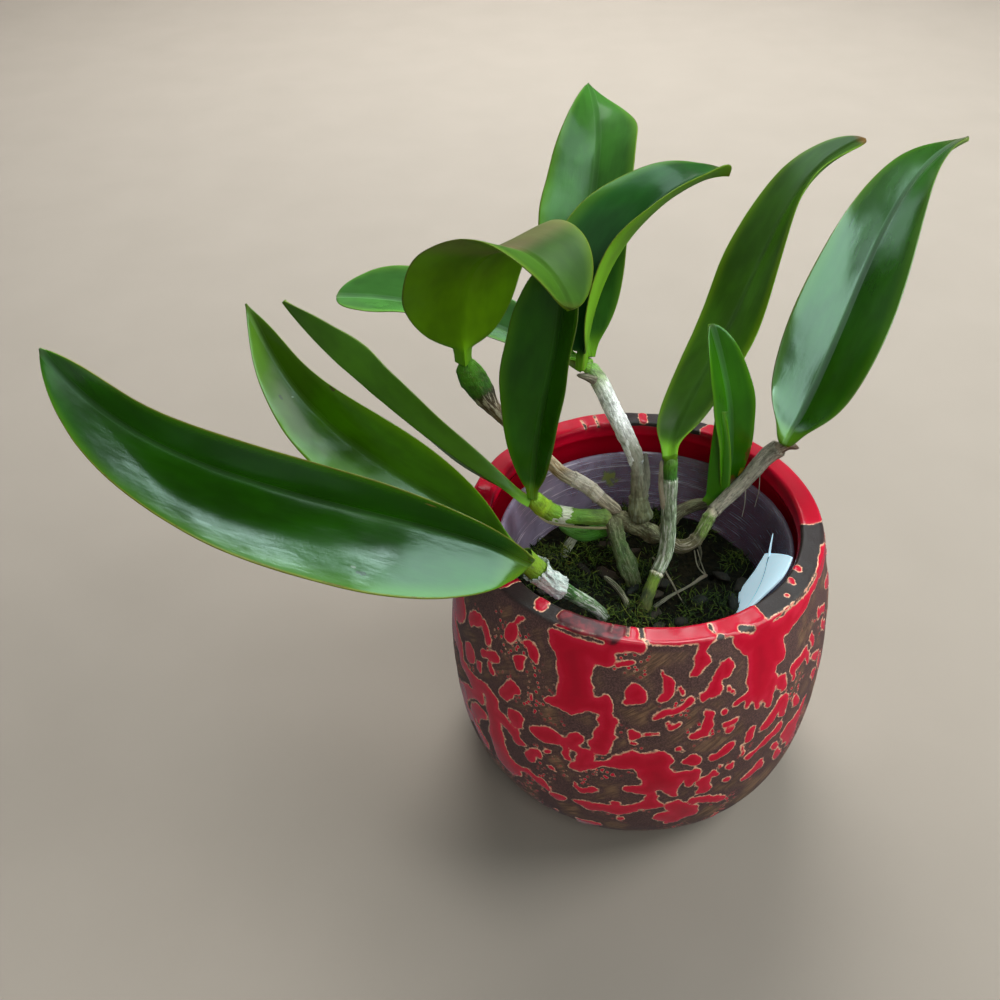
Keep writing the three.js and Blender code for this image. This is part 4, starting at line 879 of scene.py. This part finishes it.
def glazedPot():
    outline = np.concatenate([
        pot["foot"], profile(pot["outside"], 112)[:-1], corner(*pot["rimOuter"], 0, 90),
        np.linspace(*pot["rimTop"], 6), corner(*pot["rimInner"], 90, 180), pot["step"],
        profile(pot["inside"], 26), pot["floor"]])
    rings, turn = latheRings(outline, pot["cols"])
    level = np.concatenate([[0], np.cumsum(np.linalg.norm(np.diff(outline, axis=0), axis=1))])
    top = np.argmax(outline[:, 1] >= pot["rimLevel"])
    level = np.where(np.arange(len(level)) < top, outline[:, 1], level - level[top] + pot["rimLevel"])
    outside = level < pot["lastLevel"]
    degrees, height = np.meshgrid(np.degrees(turn), level)
    loose = pot["raggedness"] * ease(height, 97, 90) + 0.25
    degrees = degrees + loose * (lumps(rings / 5.5, 1) + 0.6 * lumps(rings / 2.3, 2))
    warped = height + loose * (lumps(rings / 5.5, 3) + 0.6 * lumps(rings / 2.3, 4))
    glaze = insideBars(islands, degrees, warped) + pot["swell"]
    glaze = np.maximum(glaze, insideBars(strewnBars(pot["rearIslands"]), degrees, warped))
    glaze = np.minimum(glaze, -insideBars(gaps, degrees, warped))
    glaze = np.clip(glaze + 0.35 * lumps(rings / 1.5, 7), -4, 6)
    glaze[~outside] = 6
    veil = ease(insideBars(veils, degrees, warped) + 0.8 * lumps(rings / 3, 9), -0.3, 0.6) * outside[:, None]
    slope = unit(np.gradient(outline, axis=0))
    out = np.stack([slope[:, 1:] * np.cos(turn), slope[:, 1:] * np.sin(turn), -slope[:, :1] + 0 * turn], -1)
    uneven = 0.18 * lumps(rings / 9, 12) + 0.1 * lumps(rings / 4, 13)
    raised = (pot["relief"] * ease(glaze, -0.3, 0.6) - 0.12 + uneven) * outside[:, None]
    rings = rings + out * raised[..., None]
    helix = turn - height * 0.02
    streak = np.stack([60 * np.cos(helix), 60 * np.sin(helix), height * 0.25], -1)
    return closedTube(rings, {"glaze": glaze, "veil": veil, "streak": streak, "level": height})


def potFinish():
    f = Finish("cachepot_glaze")
    here, glaze, veil, level = f.spot(), f.value("glaze"), f.value("veil"), f.value("level")
    grain = f.noise(here, 2.2, 3, 0.65)
    fine = f.noise(here, 0.9, 3, 0.6)
    streak = f.noise(f.vector("streak"), 0.75, 4, 0.7)
    broad = f.noise(here, 0.09, 2, 0.5)
    edge = glaze + (fine - 0.5) * 1.1
    dots = f.cells(here, 0.6)
    wall = level.over(pot["rimLevel"], 92.5)
    strewn = f.noise(here, 0.07, 2).over(0.54, 0.64) * wall
    bits = dots.over(0.34, 0.26) * strewn
    red = edge.over(-0.02, 0.06).most(bits)
    rim = edge.over(-0.3, -0.06) * edge.over(0.34, 0.04) * (0.3 + fine.over(0.4, 0.6) * 0.6)
    rim = rim.most(dots.over(0.4, 0.36) * dots.over(0.3, 0.34) * strewn * edge.over(0.0, -0.2) * 0.6)
    clay = f.mix(grain.over(0.35, 0.7), (64, 45, 43), (106, 75, 70))
    olive = f.mix(streak.over(0.35, 0.65), (80, 58, 46), (134, 102, 76))
    patch = edge.over(-0.6, -2.6) * broad.over(0.4, 0.64) * wall
    ground = f.mix(patch, clay, olive)
    lip = level.over(94.2, 96.5)
    ground = f.mix(lip * 0.9, ground, (32, 25, 26))
    pale = f.mix(edge.over(0.1, 2.6), (200, 24, 54), pot["red"])
    pale = f.mix(edge.over(2.5, 5.5) * 0.5, pale, (156, 3, 30))
    # painted shade: the red is darker on the rim top, which faces up and catches more lamp light
    pale = f.mix(lip * 0.5, pale, (138, 14, 34))
    pale = f.mix(level.over(103, 107), pale, (206, 7, 42))
    colour = f.mix(red, ground, pale)
    colour = f.mix(rim * level.over(103, 102), colour, (232, 184, 150))
    colour = f.mix(veil * (0.62 + f.noise(here, 0.3, 3).over(0.35, 0.6) * 0.34), colour, (46, 14, 20))
    gloss = red.most(lip * 0.45) * (1 - veil * 0.5)
    relief = red * 0.6 + f.noise(here, 1.3, 4, 0.7) * (1 - red) * 0.8 + fine * 0.05
    return f.surface(Base_Color=colour, Roughness=0.5 - gloss * 0.34 + grain * 0.12 * (1 - red),
                     Normal=f.bump(relief, 0.25, 0.7), Specular_IOR_Level=0.32)


made = piece("cachepot_shell", *glazedPot(), potFinish())
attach(made, "root")
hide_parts("cachepot")
print("glazed pot:", len(made.data.vertices), "points")


grower = {
    "foot": 6.3, "rim": 87.3, "footRadius": 33, "rimRadius": 44.2, "wall": 0.9, "cols": 160,
    "slumpStart": 40, "slumpWidth": 1.2, "slumpShift": (1.1, -0.5), "moss": (-5.0, 39.7, 78.0),
}


def growerRadius(z):
    foot, rim, low = grower["foot"], grower["rim"], grower["footRadius"]
    return low + (grower["rimRadius"] - 0.6 - low) * ((z - foot) / (rim - foot))


# Pushes round shapes out of round towards the grower pot's rim
def slump(points):
    x, y, z = points[..., 0], points[..., 1], points[..., 2]
    turn = np.arctan2(y, x)
    pushed = np.minimum(np.hypot(x, y) / grower["rimRadius"], 1)
    pushed = pushed * ease(z, grower["slumpStart"], grower["rim"])
    out, (right, back) = grower["slumpWidth"] * np.cos(2 * turn), grower["slumpShift"]
    shift = np.stack([out * np.cos(turn) + right, out * np.sin(turn) + back, 0 * z], -1)
    return points + pushed[..., None] * shift


def growerShell():
    foot, rim, low, high, wall = (grower[key] for key in ("foot", "rim", "footRadius", "rimRadius", "wall"))
    z = np.linspace(foot + 1.5, rim - 2.6, 60)
    outer = np.stack([growerRadius(z), z], 1)
    lip = [(growerRadius(rim - 2.4), rim - 2.4), (high, rim - 2), (high, rim - 0.3), (high - 0.3, rim),
           (high - 1.2, rim), (high - 1.5, rim - 0.3)]
    outline = np.concatenate([[(0.3, foot), (low - 1.5, foot)], outer, lip, outer[::-1] - [wall, 0],
                              [(low - 2.5, foot + wall), (0.3, foot + wall)]])
    return closedTube(slump(latheRings(outline, grower["cols"])[0]))


def plasticFinish():
    f = Finish("clear_plastic")
    here = f.spot()
    rings = f.noise(here, 0.9, 3, 0.7, (0.05, 0.05, 1.3))
    scratch = f.noise(here, 0.5, 3, 0.7, (0.3, 0.3, 2.4))
    cloud = f.noise(here, 0.06, 3, 0.6)
    colour = f.mix(cloud.over(0.35, 0.7), (120, 115, 140), (174, 168, 194))
    # painted shade: the wall is darker towards +x, where it lies in deep shade by the mix, and its pale lines
    # are fainter there
    shade = f.node("ShaderNodeSeparateXYZ", {}, {0: here}).over(8.0, 34.0)
    colour = f.mix(shade * 0.55, colour, (52, 48, 56))
    line = rings.over(0.58, 0.68).most(scratch.over(0.66, 0.74) * 0.8) * (1 - shade * 0.6)
    colour = f.mix(line * 0.8, colour, (225, 220, 232))
    moss = (f.far(here, grower["moss"]) + (f.noise(here, 0.5, 3, 0.7) - 0.5) * 12).over(3.4, 1.6)
    colour = f.mix(moss, colour, (116, 124, 64))
    return f.surface(Base_Color=colour, Roughness=0.3 + cloud * 0.2, Alpha=(line * 0.35 + 0.5).most(moss),
                     Normal=f.bump(scratch + rings, 0.2, 0.3), Specular_IOR_Level=0.4)


made = piece("grower_pot_wall", *growerShell(), plasticFinish())
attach(made, "root")
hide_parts("grower_pot")


def mixFinish():
    f = Finish("mix_ground_and_painted_shade")
    # near black: the dark mix together with painted shade, standing for the deep shadow in the gaps between
    # the moss
    crumb = f.noise(f.spot(), 0.6, 4, 0.7)
    return f.surface(Base_Color=f.mix(crumb.over(0.35, 0.7), (8, 8, 4), (34, 30, 16)), Roughness=1.0,
                     Normal=f.bump(crumb, 2.0, 1.0), Specular_IOR_Level=0.1)


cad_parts["potting_mix"].data.materials.clear()
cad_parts["potting_mix"].data.materials.append(mixFinish())


def mixHeight(x, y):  # the top of the mix, as the solid has it
    return 65 + 1.2 * np.sin(0.19 * x + 0.6) * np.cos(0.16 * y - 0.4) + 0.7 * np.sin(0.31 * x - 0.27 * y)


# Moss: thin four-sided strands, each a bent line from a random foot, thick in clumps and heaped at
# the left wall and the front edge. heaps are x, y, height and spread. bare is where the label stands.
moss = {
    "count": 5200, "radius": 38.6, "wall": 39.2, "length": (0.9, 3.1), "thick": (0.17, 0.38), "bend": 1.3,
    "rise": (-0.2, 1.1), "rings": 6, "bare": {"angle": -0.5, "half": 0.42, "from": 33},
    "heaps": [(-31, 12, 4.5, 70), (8, -33, 2.5, 160), (0, 1, 2.5, 16), (1, -11, 2.2, 14),
              (-12, -14, 1.5, 16)],
    "ramp": [(0, (8, 14, 4)), (0.25, (28, 44, 10)), (0.55, (70, 92, 24)), (0.85, (112, 122, 44)),
             (1, (144, 138, 80))],
}


def mossShell():
    draw = np.random.default_rng(5)
    n, rings, bare = moss["count"], moss["rings"], moss["bare"]
    angle, away = draw.uniform(-np.pi, np.pi, n), moss["radius"] * np.sqrt(draw.uniform(0, 1, n))
    x, y = away * np.cos(angle), away * np.sin(angle)
    clump = rough(np.stack([x / 8, y / 8, 0 * x], -1), 31)
    heap = sum(h * np.exp(-((x - a) ** 2 + (y - b) ** 2) / w) for a, b, h, w in moss["heaps"])
    clear = (away < bare["from"]) | (np.abs(angle - bare["angle"]) > bare["half"])
    keep = (clump + heap * 0.3 > -0.3) & clear
    x, y, clump, heap = (v[keep] for v in (x, y, clump, heap))
    n = len(x)
    level = mixHeight(x, y) - 0.6 + np.maximum(clump, 0) * 3 + heap * draw.uniform(0.2, 1, n)
    foot = np.stack([x, y, level], 1)
    heading, rise = draw.uniform(-np.pi, np.pi, n), draw.uniform(*moss["rise"], n)
    way, side = toward(heading, rise), leftOf(heading)
    up = np.cross(way, side)
    t = np.linspace(0, 1, rings)[None, :, None]
    length = draw.uniform(*moss["length"], n)[:, None, None]
    bend = draw.uniform(-moss["bend"], moss["bend"], (n, 2))[:, None, :] * t ** 2
    aside, above = bend[..., :1], bend[..., 1:]
    middle = foot[:, None] + length * (way[:, None] * t + side[:, None] * aside + up[:, None] * above)
    middle[..., :2] *= np.minimum(1, moss["wall"] / np.hypot(middle[..., 0], middle[..., 1]))[..., None]
    turn = np.arange(4) * np.pi / 2
    thick = draw.uniform(*moss["thick"], n)[:, None, None] * (1 - 0.75 * t)
    section = side[:, None, None] * np.cos(turn)[:, None] - up[:, None, None] * np.sin(turn)[:, None]
    shape = middle[:, :, None] + thick[..., None] * section
    i, j = np.meshgrid(np.arange(rings - 1) * 4, np.arange(4), indexing="ij")
    beside, last = (j + 1) % 4, 4 * rings - 4
    quads = np.stack([i + j, i + beside, i + 4 + beside, i + 4 + j], -1).reshape(-1, 4)
    quads = np.concatenate([quads, [[3, 2, 1, 0], [last, last + 1, last + 2, last + 3]]])
    faces = (quads[None] + 4 * rings * np.arange(n)[:, None, None]).reshape(-1, 4)
    # the shade is lighter in clumps and heaps and darkens towards each strand's foot: painted shade deep in
    # the mat, down to the ramp's near-black first stop
    shade = np.clip(draw.uniform(0, 0.75, n) + 0.3 * clump + 0.08 * heap, 0, 1)
    shade = shade[:, None] * np.linspace(0.55, 1, rings)
    return shape.reshape(-1, 3), [faces], {"shade": np.repeat(shade[..., None], 4, 2).reshape(-1, 1)}


def mossFinish():
    f = Finish("moss")
    colour = f.ramp(f.value("shade"), moss["ramp"])
    return f.surface(Base_Color=colour, Roughness=0.8, Specular_IOR_Level=0.2)


made = piece("moss_strands", *mossShell(), mossFinish())
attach(made, "root")


# Chips of bark: flattened lumpy ovals lying between the moss
bark = {
    "count": 40, "rows": 7, "cols": 10, "spread": 34,
    "long": (2, 4.5), "wide": (1.2, 2.4), "thick": (0.6, 1.2),
}


def barkShell():
    draw = np.random.default_rng(9)
    parts, rows, cols = [], bark["rows"], bark["cols"]
    turn = np.linspace(0, 2 * np.pi, cols, endpoint=False)
    ball = toward(turn, np.linspace(-1.35, 1.35, rows)[:, None])
    for k in range(bark["count"]):
        size = np.array([draw.uniform(*bark[key]) for key in ("long", "wide", "thick")])
        lean, angle = draw.uniform(-0.4, 0.4), draw.uniform(-3.1, 3.1)
        away = bark["spread"] * draw.uniform(0, 1) ** 0.5
        x, y, spin = away * np.cos(angle), away * np.sin(angle), draw.uniform(-3.1, 3.1)
        shape = ball * size * (1 + 0.25 * lumps(ball * 2.2 + k * 9, 3))[..., None]
        turned = Matrix.Rotation(spin, 3, "Z") @ Matrix.Rotation(lean, 3, "Y")
        shape = shape @ np.array(turned).T + [x, y, mixHeight(x, y) + 0.6]
        parts.append(closedTube(shape, {"shade": np.full(rows * cols, draw.uniform(0, 1))}))
    return joined(parts)


def barkFinish():
    f = Finish("bark")
    here = f.spot()
    grain = f.noise(here, 1.6, 3, 0.7, (1.0, 0.4, 1.0))
    colour = f.mix(f.value("shade"), (12, 9, 6), (40, 30, 20))
    colour = f.mix(grain.over(0.5, 0.7) * 0.6, colour, (52, 44, 30))
    return f.surface(Base_Color=colour, Roughness=0.85, Normal=f.bump(grain, 0.4, 0.8),
                     Specular_IOR_Level=0.3)


made = piece("bark_chips", *barkShell(), barkFinish())
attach(made, "root")
print("mix with moss and bark")


# The label is a card bent round the grower pot's wall: each row gives a height and the angles of its
# edges. It leans outward, with a crease shown as a dark line of painted shade and a cut sliver beside it.
label = {
    "rows": [(60, -7, -36), (63.5, -6, -38), (68, -5, -39), (73, -4, -40), (78.5, -1.5, -40),
             (82, -7, -39), (85, -11.7, -38), (88, -16.4, -37), (91, -21.5, -35)],
    "lean": 25, "thick": 0.5, "cols": 40, "steps": 60, "creaseFoot": (0.1, 79.2), "creaseSlope": 0.088,
    "sliver": [(40, -4.4, 79.4, 0.35), (40.4, -2.9, 82.6, 0.3), (41.4, -0.0, 85.7, 0.12)],
}


def labelShell():
    height, left, right = np.array(label["rows"], float).T
    lean, cols = np.radians(label["lean"]), label["cols"]
    z = np.linspace(height[0], height[-1], label["steps"])
    a, b = np.interp(z, height, left), np.interp(z, height, right)
    share = np.linspace(0, 1, cols)
    share = np.concatenate([share, share[::-1]])
    side = np.repeat([-1.0, 1.0], cols)
    turn = np.radians(a[:, None] + (b - a)[:, None] * share)
    radius = growerRadius(grower["rim"]) - grower["wall"] - 1 + (z - grower["rim"]) * np.tan(lean)
    reach = radius[:, None] + grower["slumpWidth"] * np.cos(2 * turn)
    reach = reach + side * label["thick"] / 2 / np.cos(lean)
    right, back = grower["slumpShift"]
    card = np.stack([reach * np.cos(turn) + right, reach * np.sin(turn) + back, z[:, None] + 0 * turn], -1)
    foot, level = label["creaseFoot"]
    crease = share - foot - (level - card[..., 2]) * label["creaseSlope"]
    sliver = stemShell(label["sliver"], cols=8)
    plain = {"crease": np.ones((len(sliver[0]), 1))}
    return joined([closedTube(card, {"crease": crease}), (*sliver[:2], plain)])


def cardFinish():
    f = Finish("label_card")
    fine = f.noise(f.spot(), 0.5, 3, 0.6)
    # painted shade: a dark line along the crease, where the card turns away from the light
    crease = abs(f.value("crease")).over(0.035, 0.012)
    colour = f.mix(fine, (196, 234, 255), (214, 244, 255))
    colour = f.mix(crease * 0.9, colour, (50, 84, 100))
    # painted light: the card gives off its own colour as a glow, though it is no lamp
    return f.surface(Base_Color=colour, Emission_Color=colour, Emission_Strength=0.45, Roughness=0.5,
                     Normal=f.bump(fine, 0.2, 0.2), Specular_IOR_Level=0.3)


made = piece("plant_label_card", *labelShell(), cardFinish())
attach(made, "root")
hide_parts("plant_label")
print("grower pot, mix and label")


# A lamp stands at a compass angle, height angle and distance in metres from the spot it faces, and has
# a size, a power and a colour. tall is the size up and down where it differs. Some light surfaces
# only, without a mirror image, and some give only their mirror image.
studio = {
    "floor": ((125, 117, 107), (131, 123, 113)), "floorHalf": 1500,
    "world": (0.9, 0.95, 1.0), "worldStrength": 0.17,
    "lamps": {
        "back": (85, 40, 1.2, 0.8, 18, (0.95, 0.98, 1.0), "surface"),
        "far": (95, 72, 1.1, 1.2, 24, (1.0, 0.98, 0.95), "surface", None, (0, 1050, 0)),
        "right": (5, 40, 1.1, 0.6, 14, (0.96, 0.98, 1.0), "surface"),
        "fill": (-80, 42, 1.6, 1.2, 12, (1.0, 0.98, 0.96), "surface"),
        "window": (-25, 36, 1.2, 0.95, 16, (0.64, 1.0, 0.88), "mirror", 0.95),
        "band": (44, 76, 1.2, 1.3, 18, (0.7, 1.0, 0.94), "mirror", 0.34),
        "sheen": (87, 49, 1.2, 0.4, 2.4, (0.94, 0.97, 1.0), "mirror"),
        "haze": (-112, 66, 1.2, 0.75, 2.6, (0.7, 1.0, 0.85), "mirror", 0.75),
    },
    "camera": (-43.4, -230.9, 295.9), "right": (0.9994, -0.0216, -0.0258), "up": (0.0337, 0.6411, 0.7667),
}
f = Finish("floor")
half = studio["floorHalf"]
floor = piece("floor", [(-half, -half, 0), (half, -half, 0), (half, half, 0), (-half, half, 0)],
              [np.array([[0, 1, 2, 3]])], {},
              f.surface(Base_Color=f.mix(f.noise(f.spot(), 0.02), *studio["floor"]), Roughness=0.9), False)
floor.visible_glossy = False

world = bpy.data.worlds.new("world")
world.use_nodes = True
background = world.node_tree.nodes["Background"]
background.inputs["Color"].default_value = (*studio["world"], 1)
background.inputs["Strength"].default_value = studio["worldStrength"]
bpy.context.scene.world = world


def lamp(name, angle, height, distance, size, power, colour, seen, tall=None, aim=(0, 0, 90)):
    light = bpy.data.lights.new(name, "AREA")
    light.shape, light.size, light.size_y = "RECTANGLE" if tall else "DISK", size, tall or size
    light.energy, light.color = power, colour
    way = Vector(toward(np.radians(angle), np.radians(height)))
    made = bpy.data.objects.new(name, light)
    made.location = Vector(aim) * mm + way * distance
    made.rotation_mode = "QUATERNION"
    made.rotation_quaternion = way.to_track_quat("Z", "Y")
    made.visible_glossy, made.visible_diffuse = seen == "mirror", seen == "surface"
    bpy.context.scene.collection.objects.link(made)


for name, settings in studio["lamps"].items():
    lamp(name, *settings)

right, up = Vector(studio["right"]).normalized(), Vector(studio["up"])
up = (up - right * up.dot(right)).normalized()
camera = bpy.data.objects.new("camera", bpy.data.cameras.new("camera"))
camera.data.lens, camera.data.sensor_width = 36, 36
camera.data.clip_start, camera.data.clip_end = 0.01, 20
turned = Matrix((right, up, right.cross(up))).transposed().to_4x4()
turned.translation = Vector(studio["camera"]) * mm
camera.matrix_world = turned
bpy.context.scene.collection.objects.link(camera)
bpy.context.scene.camera = camera
bpy.context.scene.view_settings.view_transform = "Standard"
print("floor, light and camera")
